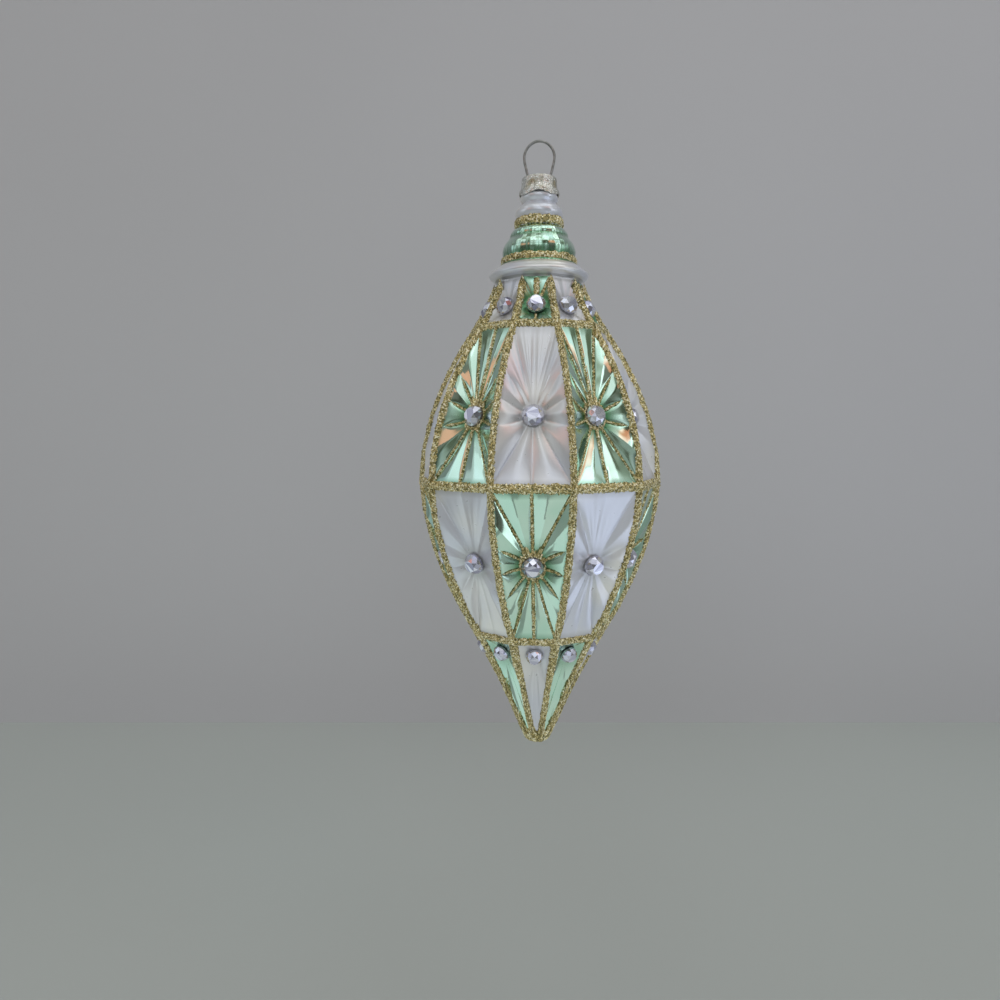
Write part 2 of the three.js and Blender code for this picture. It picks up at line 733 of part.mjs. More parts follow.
// Glitter rings on the neck
function makeGlitterRing(seatRadius, z, height) {
  const inner = seatRadius + GLITTER_GAP;
  const low = z + GLITTER_GAP;
  const high = z + height - GLITTER_GAP;
  const middle = (low + high) / 2;
  const outer = inner + RING_THICKNESS;
  const edge = inner + RING_THICKNESS / 2;
  const profile = [[inner, low], [edge, low], [outer, middle], [edge, high], [inner, high], [inner, low]];
  const lathe = new THREE.LatheGeometry(profile.map(([x, y]) => new THREE.Vector2(x, y)), NECK_SEGMENTS);
  return lathe.rotateX(Math.PI / 2);
}

const collarRing = makeGlitterRing(COLLAR_RING_SEAT_RADIUS, COLLAR_RING_Z, COLLAR_RING_HEIGHT);
addMesh('collar_glitter_ring', collarRing, GLITTER_FINISH);
const neckRing = makeGlitterRing(NECK_RING_SEAT_RADIUS, NECK_RING_Z, NECK_RING_HEIGHT);
addMesh('neck_glitter_ring', neckRing, GLITTER_FINISH);

// Cap: scalloped skirt over the bead, fluted side over the spout, flat top with two wire holes
function toManifold(geometry) {
  const bare = new THREE.BufferGeometry();
  bare.setAttribute('position', geometry.getAttribute('position'));
  bare.setIndex(geometry.getIndex());
  const merged = mergeVertices(bare, MERGE_DISTANCE);
  return new wasm.Manifold(new wasm.Mesh({
    numProp: 3,
    vertProperties: new Float32Array(merged.getAttribute('position').array),
    triVerts: new Uint32Array(merged.getIndex().array),
  }));
}

function fromManifold(solid) {
  const { vertProperties, triVerts } = solid.getMesh();
  const geometry = new THREE.BufferGeometry();
  geometry.setAttribute('position', new THREE.BufferAttribute(vertProperties, 3));
  geometry.setIndex(new THREE.BufferAttribute(triVerts, 1));
  geometry.computeVertexNormals();
  return geometry;
}

function capRing(radius, z, flute, scallop) {
  return Array.from({ length: CAP_SEGMENTS }, (_, i) => {
    const angle = FRONT + (2 * Math.PI * i) / CAP_SEGMENTS;
    const wave = Math.cos(CAP_FLUTES * (angle - FRONT));
    const arch = (1 + Math.cos(CAP_SCALLOPS * (angle - FRONT))) / 2;
    return polar(radius + flute * wave, angle, z + scallop * arch);
  });
}

const CAP_INNER_RADIUS = SPOUT_RADIUS + CAP_FIT + CAP_FLUTE_DEPTH;
const CAP_SIDE_RADIUS = CAP_INNER_RADIUS + CAP_WALL;
// The bead's widest place stays inside its lower radius and its bow together
const CAP_SKIRT_INNER_RADIUS = GROOVE_RADIUS + BEAD_BOW + CAP_FLUTE_DEPTH;
const CAP_SKIRT_RADIUS = CAP_SKIRT_INNER_RADIUS + CAP_WALL;
const CAP_EDGE_Z = CAP_TOP_Z - CAP_HEIGHT;
const CAP_SKIRT_TOP_Z = SPOUT_Z + CAP_WALL;

function makeCap() {
  const skin = new Skin();
  const shoulder = CAP_TOP_Z - CAP_WALL;
  const rings = [
    capRing(CAP_SKIRT_INNER_RADIUS, CAP_EDGE_Z, CAP_FLUTE_DEPTH, CAP_SCALLOP),
    capRing(CAP_SKIRT_RADIUS, CAP_EDGE_Z, CAP_FLUTE_DEPTH, CAP_SCALLOP),
    capRing(CAP_SKIRT_RADIUS - CAP_WALL / 2, CAP_SKIRT_TOP_Z, CAP_FLUTE_DEPTH, 0),
    capRing(CAP_SIDE_RADIUS + CAP_WALL / 2, CAP_SKIRT_TOP_Z + CAP_WALL * 3, CAP_FLUTE_DEPTH, 0),
    capRing(CAP_SIDE_RADIUS, shoulder, CAP_FLUTE_DEPTH, 0),
    capRing(CAP_SIDE_RADIUS - CAP_WALL, CAP_TOP_Z, 0, 0),
  ];
  const insideRings = [
    capRing(CAP_INNER_RADIUS, shoulder, CAP_FLUTE_DEPTH, 0),
    capRing(CAP_INNER_RADIUS, CAP_SKIRT_TOP_Z + CAP_WALL * 2, CAP_FLUTE_DEPTH, 0),
    capRing(CAP_SKIRT_INNER_RADIUS, CAP_SKIRT_TOP_Z, CAP_FLUTE_DEPTH, 0),
    rings[0],
  ];
  for (let i = 0; i < rings.length - 1; i += 1) {
    skin.zip(rings[i], rings[i + 1]);
  }
  for (let i = 0; i < insideRings.length - 1; i += 1) {
    skin.zip(insideRings[i], insideRings[i + 1]);
  }
  skin.fan(rings[rings.length - 1]);
  skin.fan(insideRings[0].slice().reverse());

  const hole = new THREE.CylinderGeometry(
    WIRE_RADIUS + WIRE_HOLE_CLEARANCE,
    WIRE_RADIUS + WIRE_HOLE_CLEARANCE,
    CAP_WALL * 4,
    WIRE_HOLE_SIDES,
  ).rotateX(Math.PI / 2);
  const cut = (x) => toManifold(hole.clone().translate(x, 0, CAP_TOP_Z));
  const shell = toManifold(skin.geometry());
  return fromManifold(shell.subtract(cut(FOOT_X)).subtract(cut(-FOOT_X)));
}

addMesh('cap', makeCap(), CAP_FINISH);

// Spring wire hanger: one wire, from the left leg's end up, round the ring and down the right leg
function makeHanger() {
  const foot = new THREE.Vector3(FOOT_X, 0, CAP_TOP_Z);
  const leg = LEG_POINT_SHARES.map((share) => {
    return new THREE.Vector3(LEG_X, 0, CAP_TOP_Z - LEG_LENGTH * share);
  });
  const ringStart = new THREE.Vector3(
    THREE.MathUtils.lerp(FOOT_X, RING_HALF_WIDTH, RING_START_OUT_SHARE),
    0,
    CAP_TOP_Z + RING_START_UP_SHARE * RING_WIDEST_ABOVE_CAP,
  );
  const rightHalf = [...leg, foot, ringStart];
  for (let degrees = 0; degrees < 90; degrees += 30) {
    const angle = THREE.MathUtils.degToRad(degrees);
    const lift = RING_CROWN_HEIGHT * Math.sin(angle);
    rightHalf.push(new THREE.Vector3(RING_HALF_WIDTH * Math.cos(angle), 0, RING_WIDEST_Z + lift));
  }
  const crown = new THREE.Vector3(0, 0, RING_WIDEST_Z + RING_CROWN_HEIGHT);
  const leftHalf = rightHalf.map(({ x, z }) => new THREE.Vector3(-x, 0, z)).reverse();
  const path = new THREE.CatmullRomCurve3([...rightHalf, crown, ...leftHalf]);
  const section = new THREE.Shape(Array.from({ length: WIRE_SIDES }, (_, i) => {
    const angle = (2 * Math.PI * (i + 0.5)) / WIRE_SIDES;
    return new THREE.Vector2(WIRE_RADIUS * Math.cos(angle), WIRE_RADIUS * Math.sin(angle));
  }));
  return new THREE.ExtrudeGeometry(section, { steps: WIRE_STEPS, extrudePath: path });
}

addMesh('spring_hanger', makeHanger(), WIRE_FINISH);

export default ornament;
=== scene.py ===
"""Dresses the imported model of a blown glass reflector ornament.

The body is clear glass, pressed with stars, silvered inside and lacquered outside in mint and
pearl by turns. Glitter covers its ridges, faceted stones sit in the stars, and a stamped cap
with a spring wire holds it.
"""

import math
from collections import namedtuple

import bmesh
import bpy
import numpy as np
from mathutils import Matrix, Vector


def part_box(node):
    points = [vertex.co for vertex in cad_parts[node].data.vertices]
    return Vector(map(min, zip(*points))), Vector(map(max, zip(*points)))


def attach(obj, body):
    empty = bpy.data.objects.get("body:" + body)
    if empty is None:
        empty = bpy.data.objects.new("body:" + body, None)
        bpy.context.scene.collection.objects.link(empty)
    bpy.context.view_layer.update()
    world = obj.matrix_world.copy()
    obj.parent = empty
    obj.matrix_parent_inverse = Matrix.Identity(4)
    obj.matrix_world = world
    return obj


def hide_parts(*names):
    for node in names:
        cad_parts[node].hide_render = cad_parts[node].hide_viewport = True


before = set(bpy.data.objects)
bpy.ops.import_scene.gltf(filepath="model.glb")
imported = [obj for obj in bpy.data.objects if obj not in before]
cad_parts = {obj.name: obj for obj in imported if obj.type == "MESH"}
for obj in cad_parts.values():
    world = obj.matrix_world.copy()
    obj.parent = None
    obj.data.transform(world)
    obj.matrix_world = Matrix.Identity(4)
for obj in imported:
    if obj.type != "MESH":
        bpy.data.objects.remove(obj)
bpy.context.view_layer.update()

bl_info = {
    "name": "Reflector Ornament",
    "version": (1, 0, 0),
    "blender": (4, 5, 0),
    "location": "View3D > Sidebar > Ornament",
    "description": "Builds the finished pieces of a blown glass reflector ornament over its solids",
    "category": "Add Mesh",
}

MM = 0.001

# The body's plan: ten flat sides, the first one facing the front
SECTORS = 10
HALF_SECTOR = math.pi / SECTORS
FRONT = -math.pi / 2
UP = np.array([0.0, 0.0, 1.0])

# Lines of the body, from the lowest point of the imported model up
GLITTER_GAP = 0.2 * MM
TIP_DOME_HEIGHT = 1.4 * MM
TIP_END_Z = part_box("glitter_lattice")[0].z
TIP_JOIN_Z = TIP_END_Z + 0.65 * MM + TIP_DOME_HEIGHT
LOWER_LINE_Z = TIP_JOIN_Z + 26.4 * MM
EQUATOR_Z = LOWER_LINE_Z + 34.7 * MM
UPPER_LINE_Z = EQUATOR_Z + 35.0 * MM
SHOULDER_Z = UPPER_LINE_Z + 10.8 * MM
COLLAR_Z = SHOULDER_Z + 2.3 * MM

# Ridge radius at each line
TIP_RADIUS = 2.85 * MM
LOWER_LINE_RADIUS = 16.0 * MM
EQUATOR_RADIUS = 28.0 * MM
UPPER_LINE_RADIUS = 15.4 * MM
SHOULDER_RADIUS = 9.8 * MM

# Border points of a panel: ray and bay by turns, as shares of its half width and of its height
FULL_ENDS = (-1, -0.5, 0, 0.5, 1)
TIP_ENDS = (-1, 0, 1)
STAR_SIDES = (0.18, 0.36, 0.45, 0.54, 0.635, 0.73, 0.865)
STAR_SIDES_TURNED = tuple(1 - share for share in reversed(STAR_SIDES))
PLAIN_SIDES = (0.25, 0.5, 0.75)

# Radius and height of the stones, and the width of the seat left free round them
BIG_STONE = (2.35 * MM, 1.9 * MM)
SHOULDER_STONE = (2.15 * MM, 1.75 * MM)
TIP_STONE = (1.95 * MM, 1.6 * MM)
SEAT_MARGIN = 0.3 * MM

# Where the wire goes down through the cap, to either side of the axis
WIRE_FOOT = 2.45 * MM

# Material slots of the glass, and how dull plain pearl lacquer is away from grooves and ribs
MINT, PEARL = 0, 1
PEARL_POOL = 0.2

# A row lies between two lines, z and top; its ridges bow out between their radii there
Row = namedtuple("Row", "name z top radii bow bottom sides stone_z seat_depth stone relief")
ROWS = [
    Row(
        "tip", TIP_JOIN_Z, LOWER_LINE_Z, (TIP_RADIUS, LOWER_LINE_RADIUS), bow=-0.6 * MM,
        bottom=TIP_ENDS, sides=PLAIN_SIDES, stone_z=LOWER_LINE_Z - 3.9 * MM, seat_depth=0.5 * MM,
        stone=TIP_STONE, relief=0.0,
    ),
    Row(
        "lower", LOWER_LINE_Z, EQUATOR_Z, (LOWER_LINE_RADIUS, EQUATOR_RADIUS), bow=2.3 * MM,
        bottom=FULL_ENDS, sides=STAR_SIDES_TURNED, stone_z=EQUATOR_Z - 17.3 * MM,
        seat_depth=1.7 * MM, stone=BIG_STONE, relief=1.0,
    ),
    Row(
        "upper", EQUATOR_Z, UPPER_LINE_Z, (EQUATOR_RADIUS, UPPER_LINE_RADIUS), bow=2.9 * MM,
        bottom=FULL_ENDS, sides=STAR_SIDES, stone_z=EQUATOR_Z + 15.6 * MM, seat_depth=2.6 * MM,
        stone=BIG_STONE, relief=1.0,
    ),
    Row(
        "shoulder", UPPER_LINE_Z, SHOULDER_Z, (UPPER_LINE_RADIUS, SHOULDER_RADIUS), bow=-0.4 * MM,
        bottom=FULL_ENDS, sides=PLAIN_SIDES, stone_z=UPPER_LINE_Z + 4.5 * MM, seat_depth=0.7 * MM,
        stone=SHOULDER_STONE, relief=0.4,
    ),
]


def linear(hex_colour):
    """Turns an sRGB hex colour into the linear values that Blender's sockets hold."""
    channels = [int(hex_colour[i:i + 2], 16) / 255 for i in (1, 3, 5)]
    return [c / 12.92 if c <= 0.04045 else ((c + 0.055) / 1.055) ** 2.4 for c in channels]


# Sizes and colours that a user would change


def setting(name, text, value, **kind):
    return bpy.props.FloatProperty(name=name, description=text, default=value, **kind)


def length(name, text, millimetres):
    return setting(name, text, millimetres * MM, unit="LENGTH")


def share_of(name, text, value):
    return setting(name, text, value, subtype="FACTOR")


def colour(name, text, hex_colour):
    return bpy.props.FloatVectorProperty(
        name=name, description=text, default=linear(hex_colour), subtype="COLOR",
    )


class GlassSettings(bpy.types.PropertyGroup):
    groove_width: length("Groove width", "Half width of the long grooves of a star", 0.62)
    groove_depth: length("Groove depth", "Depth of the long grooves under the facets beside them", 0.42)
    leaf_width: length("Leaf width", "Half width of the short leaf-shaped grooves at the sides", 0.85)
    leaf_depth: length("Leaf depth", "Depth of the short leaf-shaped grooves", 0.5)
    leaf_reach: share_of("Leaf reach", "Where a leaf-shaped groove ends, from stone to ridge", 0.8)
    fold: setting("Fold", "Slope of the two facets that meet between two grooves of a star", 0.2)
    swell: length("Swell", "How far a pearl panel bulges softly between two grooves", 0.24)
    pleat: length("Pleat height", "Height of the soft pleats in the pearl panels", 0.1)
    reed_depth: length("Reed depth", "Depth of the fine upright reeds on the two green tiers", 0.022)
    mint: colour("Mint lacquer", "Clear green lacquer over the silver", "#cce6d7")
    # Deep green for pooled lacquer together with painted shade beside the ribs, round the stones and on
    # the neck
    pooled_and_shaded_mint: colour("Pooled lacquer", "The same, gathered in grooves and along ridges", "#52835a")
    pearl: colour("Pearl lacquer", "Pearl white of the other panels", "#f2efec")
    cool_pearl: colour("Cool pearl", "Lavender cast of the pearl lacquer", "#dfe1ec")


class GlitterSettings(bpy.types.PropertyGroup):
    rib_width: length("Rib width", "Half width of the glitter on the ridges", 0.92)
    line_width: length("Ring line width", "Half width of the glitter on the lines between the rows", 1.08)
    tip_rib_width: length("Tip rib width", "Half width on the tip row's ridges, at their upper end", 0.78)
    rib_height: length("Rib height", "Height of the glitter over a ridge", 0.6)
    ray_width: length("Ray width", "Half width of the glitter in a long groove", 0.36)
    ray_height: length("Ray height", "Height of the glitter over the bottom of its groove", 0.4)
    grain: length("Grain", "Size of one glitter flake, a little coarser than real so that it shows", 0.3)
    # Painted glints and painted shade: flakes drawn brighter or darker than gold at random
    bright: colour("Bright flakes", "Flakes that face the light", "#f6eeca")
    gold: colour("Gold flakes", "Most of the flakes", "#d4c288")
    painted_dark_flakes: colour("Deep flakes", "Flakes sunk in the glue", "#7d754a")


class StoneSettings(bpy.types.PropertyGroup):
    table: share_of("Table", "Radius of the flat top, as a share of the stone's radius", 0.58)
    girdle: share_of("Girdle", "Height of the upright edge, as a share of the stone's height", 0.3)
    glue: length("Glue", "Thickness of the glue under a stone", 0.2)
    # Painted reflections: each facet is drawn light or dark
    light: colour("Light facets", "Facets that show the foil behind them", "#e6e6f3")
    painted_dark_facets: colour("Dark facets", "Facets that show the depth of the stone", "#8785a0")


class HangerSettings(bpy.types.PropertyGroup):
    cap_wall: length("Cap wall", "Thickness of the cap's sheet", 0.25)
    crinkle: length("Crinkle", "Depth of the cap's stamped crinkle", 0.07)
    wire_radius: length("Wire radius", "Radius of the spring wire", 0.3)


class StageSettings(bpy.types.PropertyGroup):
    distance: length("Camera distance", "Level distance from the camera to the ornament's axis", 178)
    height: length("Camera height", "Height of the camera above the ornament's tip", 73.1)
    side: setting(
        "Camera side", "How far round to the right of the front panel the camera stands",
        math.radians(2.75), unit="ROTATION",
    )
    backdrop: colour("Backdrop", "Pale grey of the wall", "#c6c5c8")
    floor: colour("Floor", "Pale grey of the table", "#b6bab7")


# Shapes shared by the glass and the glitter


def flat(angle, radius=1.0):
    """Level vector or point at an angle round the axis."""
    return np.stack([radius * np.cos(angle), radius * np.sin(angle), 0 * (angle + radius)], axis=-1)


def unit(vectors):
    return vectors / np.linalg.norm(vectors, axis=-1, keepdims=True)


def ridge_radius(z):
    """Radius of a ridge at a height: each row's ridge is a parabola between its two lines."""
    row = next((row for row in ROWS if z < row.top), ROWS[-1])
    share = (z - row.z) / (row.top - row.z)
    low, high = row.radii
    return low + (high - low) * share + 4 * row.bow * share * (1 - share)


def ridge_slope(z):
    step = 0.25 * MM
    low = max(z - step, TIP_JOIN_Z)
    high = min(z + step, SHOULDER_Z)
    return (ridge_radius(high) - ridge_radius(low)) / (high - low)


def uneven(random, count, spread, low, high):
    """Factors round 1 that make a brushed-on width uneven."""
    return np.clip(1 + spread * random.standard_normal(count), low, high)


def dome_row(line, share):
    """The line under the tip row, moved a share of the way down the dome that closes the body."""
    bend = share * math.pi / 2
    row = line * [math.cos(bend), math.cos(bend), 1]
    row[:, 2] = TIP_JOIN_Z - TIP_DOME_HEIGHT * math.sin(bend)
    return row


class Star:
    """One pressed panel. In seat coordinates x runs across, y up the panel and z out of it.

    A place counts border points round the panel, counterclockwise from outside: even ones are
    rays with a groove, odd ones bays. A share runs from the stone's seat at 0 to the border at 1.
    """

    # How far the long and the leaf-shaped grooves start inside the seat, as shares of their way
    groove_lead, leaf_lead = 0.14, 0.12
    narrowest = 0.05 * MM
    # The widest that a groove gets, as a share of the way to the next border point's line
    widest = 0.85
    # Bays narrower than these have weaker swells and shallower grooves in the pearl panels
    full_bay, full_span = 1.8 * MM, 1.2 * MM
    # How far out from a rib the lacquer is drawn pooled and with painted shade, and how far out from a
    # seat the painted shadow round the stone reaches
    rib_pool, seat_pool = 1.25 * MM, 3.2 * MM

    def __init__(self, row, sector, glass):
        self.row = row
        self.row_number = ROWS.index(row)
        self.sector = sector
        self.glass = glass
        self.green = (sector + self.row_number) % 2 == 1
        self.angle = FRONT + 2 * math.pi * sector / SECTORS
        self.across = flat(self.angle + math.pi / 2)
        slope = ridge_slope(row.stone_z) * math.cos(HALF_SECTOR)
        self.normal = unit(flat(self.angle) - slope * UP)
        self.along = np.cross(self.normal, self.across)
        self.axes = np.stack([self.across, self.along, self.normal])
        self.stone_radius = row.stone[0]
        self.seat_radius = self.stone_radius + SEAT_MARGIN
        self.seat = self.flat_point(0, row.stone_z) - row.seat_depth * self.normal
        self.bottom_end = len(row.bottom) - 1
        self.top_start = len(row.bottom) + len(row.sides)
        self.top_end = self.top_start + len(FULL_ENDS) - 1
        self.loop = [(u, 0) for u in row.bottom] + [(1, v) for v in row.sides]
        self.loop += [(-u, 1) for u in FULL_ENDS] + [(-1, v) for v in reversed(row.sides)]
        self.count = len(self.loop)
        heights = [row.z + v * (row.top - row.z) for _, v in self.loop]
        border = [self.flat_point(u, z) for (u, _), z in zip(self.loop, heights)]
        self.border = (np.array(border) - self.seat) @ self.axes.T
        self.hub = self.seat_radius * unit(self.border * [1, 1, 0])
        self.leaf = np.array([0 < v < 1 for _, v in self.loop])
        seed = SECTORS * self.row_number + sector
        self.fold_shares = np.random.default_rng(seed).uniform(0.2, 1.6, self.count)

    def flat_point(self, u, z):
        """Point of the flat panel before its star is pressed in."""
        radius = ridge_radius(z)
        level = flat(self.angle, radius * math.cos(HALF_SECTOR))
        return level + self.across * u * radius * math.sin(HALF_SECTOR) + UP * z

    def to_model(self, points):
        return points @ self.axes + self.seat

    def over_glass(self, place, share, lift=0.0):
        """Points in the model, lifted off the glass."""
        points, _ = self.surface(place, share)
        points[..., 2] += lift
        return self.to_model(points)

    def locate(self, place):
        """Border points before and after a place, and how far it lies between them."""
        place = np.asarray(place, float)
        below = np.floor(place + 1e-9)
        first = below.astype(int) % self.count
        return first, (first + 1) % self.count, np.clip(place - below, 0, 1)[..., None]

    def spoke(self, index, share):
        """Points on the line from the seat to a border point."""
        return self.hub[index] + (self.border[index] - self.hub[index]) * share

    def groove(self, share):
        """Half width and depth of the long grooves, and then of the leaf-shaped ones."""
        glass, lead = self.glass, self.groove_lead
        end_fade = np.sin(math.pi * np.clip(share * (1 - lead) + lead, 0, 1)) ** 0.6
        long_half = glass.groove_width * (1 - 0.35 * share)
        leaf_share = np.clip((share + self.leaf_lead) / (glass.leaf_reach + self.leaf_lead), 0, 1)
        leaf_shape = np.sin(math.pi * leaf_share) ** 0.75
        leaf_half = np.where(share < glass.leaf_reach, glass.leaf_width * leaf_shape, 0) + self.narrowest
        leaf_half = np.where(share > 0.999, long_half, leaf_half)
        return long_half, glass.groove_depth * end_fade, leaf_half, glass.leaf_depth * leaf_shape

    def surface(self, place, share):
        """Seat coordinates and lacquer depth of the glass."""
        glass = self.glass
        place = np.asarray(place, float) % self.count
        place, share = np.broadcast_arrays(place, np.asarray(share, float))
        first, second, between = self.locate(place)
        a = self.spoke(first, share[..., None])
        b = self.spoke(second, share[..., None])
        point = a + (b - a) * between
        span = np.linalg.norm((b - a)[..., :2], axis=-1)
        from_ray = first % 2 == 0
        aside = np.where(from_ray, between[..., 0], 1 - between[..., 0]) * span
        ray = np.where(from_ray, first, second)
        long_half, long_depth, leaf_half, leaf_depth = self.groove(share)
        half = np.minimum(np.where(self.leaf[ray], leaf_half, long_half), self.widest * span)
        depth = np.where(self.leaf[ray], leaf_depth, long_depth) * self.row.relief
        near = np.clip(1 - aside / half, 0, 1)
        bay = np.clip((aside - half) / np.maximum(span - half, 1e-9), 0, 1)
        steepness = glass.fold * self.fold_shares[np.where(from_ray, second, first)]
        rise = steepness * np.maximum(span - half, 0) * bay * (1 - share ** 3)
        if not self.green:
            upright = np.clip(point[..., 1] / np.linalg.norm(point[..., :2], axis=-1), 0, 1) ** 4
            # A narrow bay has no room for the whole swell
            room = 4 * share * (1 - share) * np.clip((span - half) / self.full_bay, 0, 1)
            rise = 0.55 * rise + glass.swell * room * np.sin(bay * math.pi / 2) * (1 - upright)
            rise = rise - glass.pleat * room * upright * np.cos(3 * math.pi * bay)
            depth = depth * (0.55 - 0.35 * upright) * np.clip(span / self.full_span, 0.3, 1)
        outward = np.linalg.norm(point[..., :2], axis=-1)
        in_groove = near * np.clip(depth / glass.groove_depth, 0, 1)
        point[..., 2] += rise * (0.5 + 0.5 * self.row.relief) - depth * near ** 1.3
        return point, self.pooled_and_shaded(share, outward, in_groove)

    def pooled_and_shaded(self, share, outward, in_groove):
        """How dark the lacquer is drawn: pooled and with painted shade in the grooves and beside the ribs,
        with a painted shadow round the stone.
        """
        from_border = outward * (1 / np.maximum(share, 0.05) - 1)
        # Pooled lacquer and painted shade beside the ribs
        beside_rib = 0.75 * np.clip(1.7 - from_border / self.rib_pool, 0, 1)
        # Painted shadow round the stone
        stone_shadow = np.clip(1.15 - (outward - self.seat_radius) / self.seat_pool, 0, 1)
        if self.row is ROWS[0]:
            stone_shadow = 0.5 * stone_shadow
        if self.green:
            # Green panels are drawn deep green with pooled lacquer and painted shade in grooves and beside
            # ribs, and a painted shadow round the stone
            return np.maximum(in_groove, np.maximum(beside_rib, stone_shadow))
        # Pearl panels are drawn whitest in the grooves as a painted highlight, and grey with painted shade
        # beside the ribs and round the stone
        painted_shade = np.maximum(beside_rib, 0.6 * stone_shadow ** 2)
        return PEARL_POOL * (1 - in_groove * (1 - painted_shade)) + (1 - PEARL_POOL) * painted_shade

    def columns(self, share):
        """Places of the grid's columns at one share: close together across each groove."""
        places = []
        long_half, _, leaf_half, _ = self.groove(np.array(share))
        for first in range(self.count):
            second = (first + 1) % self.count
            span = np.linalg.norm((self.spoke(second, share) - self.spoke(first, share))[:2])
            ray = first if first % 2 == 0 else second
            half = min(float(leaf_half if self.leaf[ray] else long_half), self.widest * span) / span
            steps = [0, 0.35 * half, 0.7 * half, half]
            steps += [half + (1 - half) * part for part in (0.25, 0.5, 0.75)]
            if first % 2 == 1:
                steps = [0] + [1 - step for step in reversed(steps[1:])]
            places += [first + step for step in steps]
        return np.array(places)

    def edge_line(self, start, end):
        """Points on the border where the grid's columns end, from one place up to another."""
        places = self.columns(1.0)
        return list(self.over_glass(places[(places >= start) & (places < end)], 1.0))

    def inset_share(self, place, widths, level):
        """Share at which a place's line to the hub comes a part of the glitter's width inside.

        Each border segment keeps its own width, and the nearest one to the border decides, so
        the glitter's corners are mitred.
        """
        first, second, between = self.locate(place)
        outer = self.border[first] + (self.border[second] - self.border[first]) * between
        inner = self.hub[first] + (self.hub[second] - self.hub[first]) * between
        share = np.ones(len(place))
        for k in range(self.count):
            start = self.border[k, :2]
            edge = unit(self.border[(k + 1) % self.count, :2] - start)
            inward = np.array([-edge[1], edge[0]])
            from_outer = (outer[:, :2] - start) @ inward
            from_inner = (inner[:, :2] - start) @ inward
            width = widths[k] * level
            crossing = (from_inner - width) / np.maximum(from_inner - from_outer, 1e-9)
            share = np.where(from_outer < width - 1e-9, np.minimum(share, crossing), share)
        return np.clip(share, 0, 1)

    def border_shares(self, place):
        """Shares of the half width and of the height at places on the border."""
        first, second, between = self.locate(place)
        loop = np.array(self.loop, float)
        return loop[first] + (loop[second] - loop[first]) * between

    def rib_normal(self, place):
        """Direction that points out of the body's edge at a place on the border."""
        shares = self.border_shares(place)
        heights = self.row.z + shares[:, 1] * (self.row.top - self.row.z)
        slopes = np.array([ridge_slope(z) for z in heights])
        level = flat(self.angle + shares[:, 0] * HALF_SECTOR)
        return unit(level - slopes[:, None] * UP)


def all_stars(glass):
    """All forty panels, the tip row's first."""
    return [Star(row, sector, glass) for row in ROWS for sector in range(SECTORS)]


# Mesh helpers


def deselect():
    """Empties the selection, so that the next operator acts on the new piece alone."""
    bpy.ops.object.select_all(action="DESELECT")


def make_active(piece):
    deselect()
    piece.select_set(True)
    bpy.context.view_layer.objects.active = piece


def new_object(name, points, faces):
    mesh = bpy.data.meshes.new(name)
    mesh.from_pydata([tuple(point) for point in points], [], [tuple(face) for face in faces])
    piece = bpy.data.objects.new(name, mesh)
    bpy.context.scene.collection.objects.link(piece)
    make_active(piece)
    return piece


def clean_up(piece, distance, *first_steps):
    """Runs edit mode steps, joins points closer than a distance and turns all faces outward."""
    make_active(piece)
    bpy.ops.object.mode_set(mode="EDIT")
    bpy.ops.mesh.select_all(action="SELECT")
    for step in first_steps:
        step()
    bpy.ops.mesh.remove_doubles(threshold=distance)
    bpy.ops.mesh.normals_make_consistent(inside=False)
    bpy.ops.object.mode_set(mode="OBJECT")


def shade_smooth(piece, degrees):
    """Smooth shading, except over edges sharper than an angle."""
    make_active(piece)
    bpy.ops.object.shade_smooth_by_angle(angle=math.radians(degrees))


def apply_modifier(piece, kind, **settings):
    make_active(piece)
    modifier = piece.modifiers.new(kind.lower(), kind)
    for name, value in settings.items():
        setattr(modifier, name, value)
    bpy.ops.object.modifier_apply(modifier=modifier.name)


def rename(piece, name):
    piece.name = name
    piece.data.name = name
    return piece


class Patchwork:
    """Collects grids of points that become one mesh."""

    def __init__(self):
        self.points = []
        self.faces = []
        self.materials = []
        self.values = []

    def add(self, rows, closed=False, material=0, values=None):
        """Adds a grid: rows of points, each running the same way."""
        rows = np.asarray(rows)
        high, wide = rows.shape[:2]
        start = sum(len(points) for points in self.points)
        self.points.append(rows.reshape(-1, 3))
        self.values.append(np.zeros(high * wide) if values is None else np.ravel(values))
        for low in range(start, start + (high - 1) * wide, wide):
            for j in range(wide if closed else wide - 1):
                k = (j + 1) % wide
                self.faces.append((low + j, low + k, low + wide + k, low + wide + j))
                self.materials.append(material)

    def make(self, name, distance, attribute=None):
        """The mesh, with points closer than a distance joined."""
        piece = new_object(name, np.concatenate(self.points), self.faces)
        piece.data.polygons.foreach_set("material_index", self.materials)
        if attribute:
            layer = piece.data.attributes.new(attribute, "FLOAT", "POINT")
            layer.data.foreach_set("value", np.concatenate(self.values).astype(np.float32))
        clean_up(piece, distance)
        return piece


def roughen(piece, height, spread, seed):
    """Moves each point of a glitter layer a little and gives every flake a random value, which picks its
    painted glint or shade.
    """
    mesh = piece.data
    count = len(mesh.vertices)
    points = np.empty(count * 3, np.float32)
    normals = np.empty(count * 3, np.float32)
    mesh.vertices.foreach_get("co", points)
    mesh.vertex_normals.foreach_get("vector", normals)
    random = np.random.default_rng(seed)
    points = points.reshape(-1, 3)
    points += normals.reshape(-1, 3) * random.uniform(-height, height, (count, 1))
    points += random.uniform(-spread, spread, (count, 3))
    mesh.vertices.foreach_set("co", points.ravel().astype(np.float32))
    shade = mesh.attributes.new("flake", "FLOAT", "FACE")
    shade.data.foreach_set("value", random.random(len(mesh.polygons)).astype(np.float32))
    mesh.update()


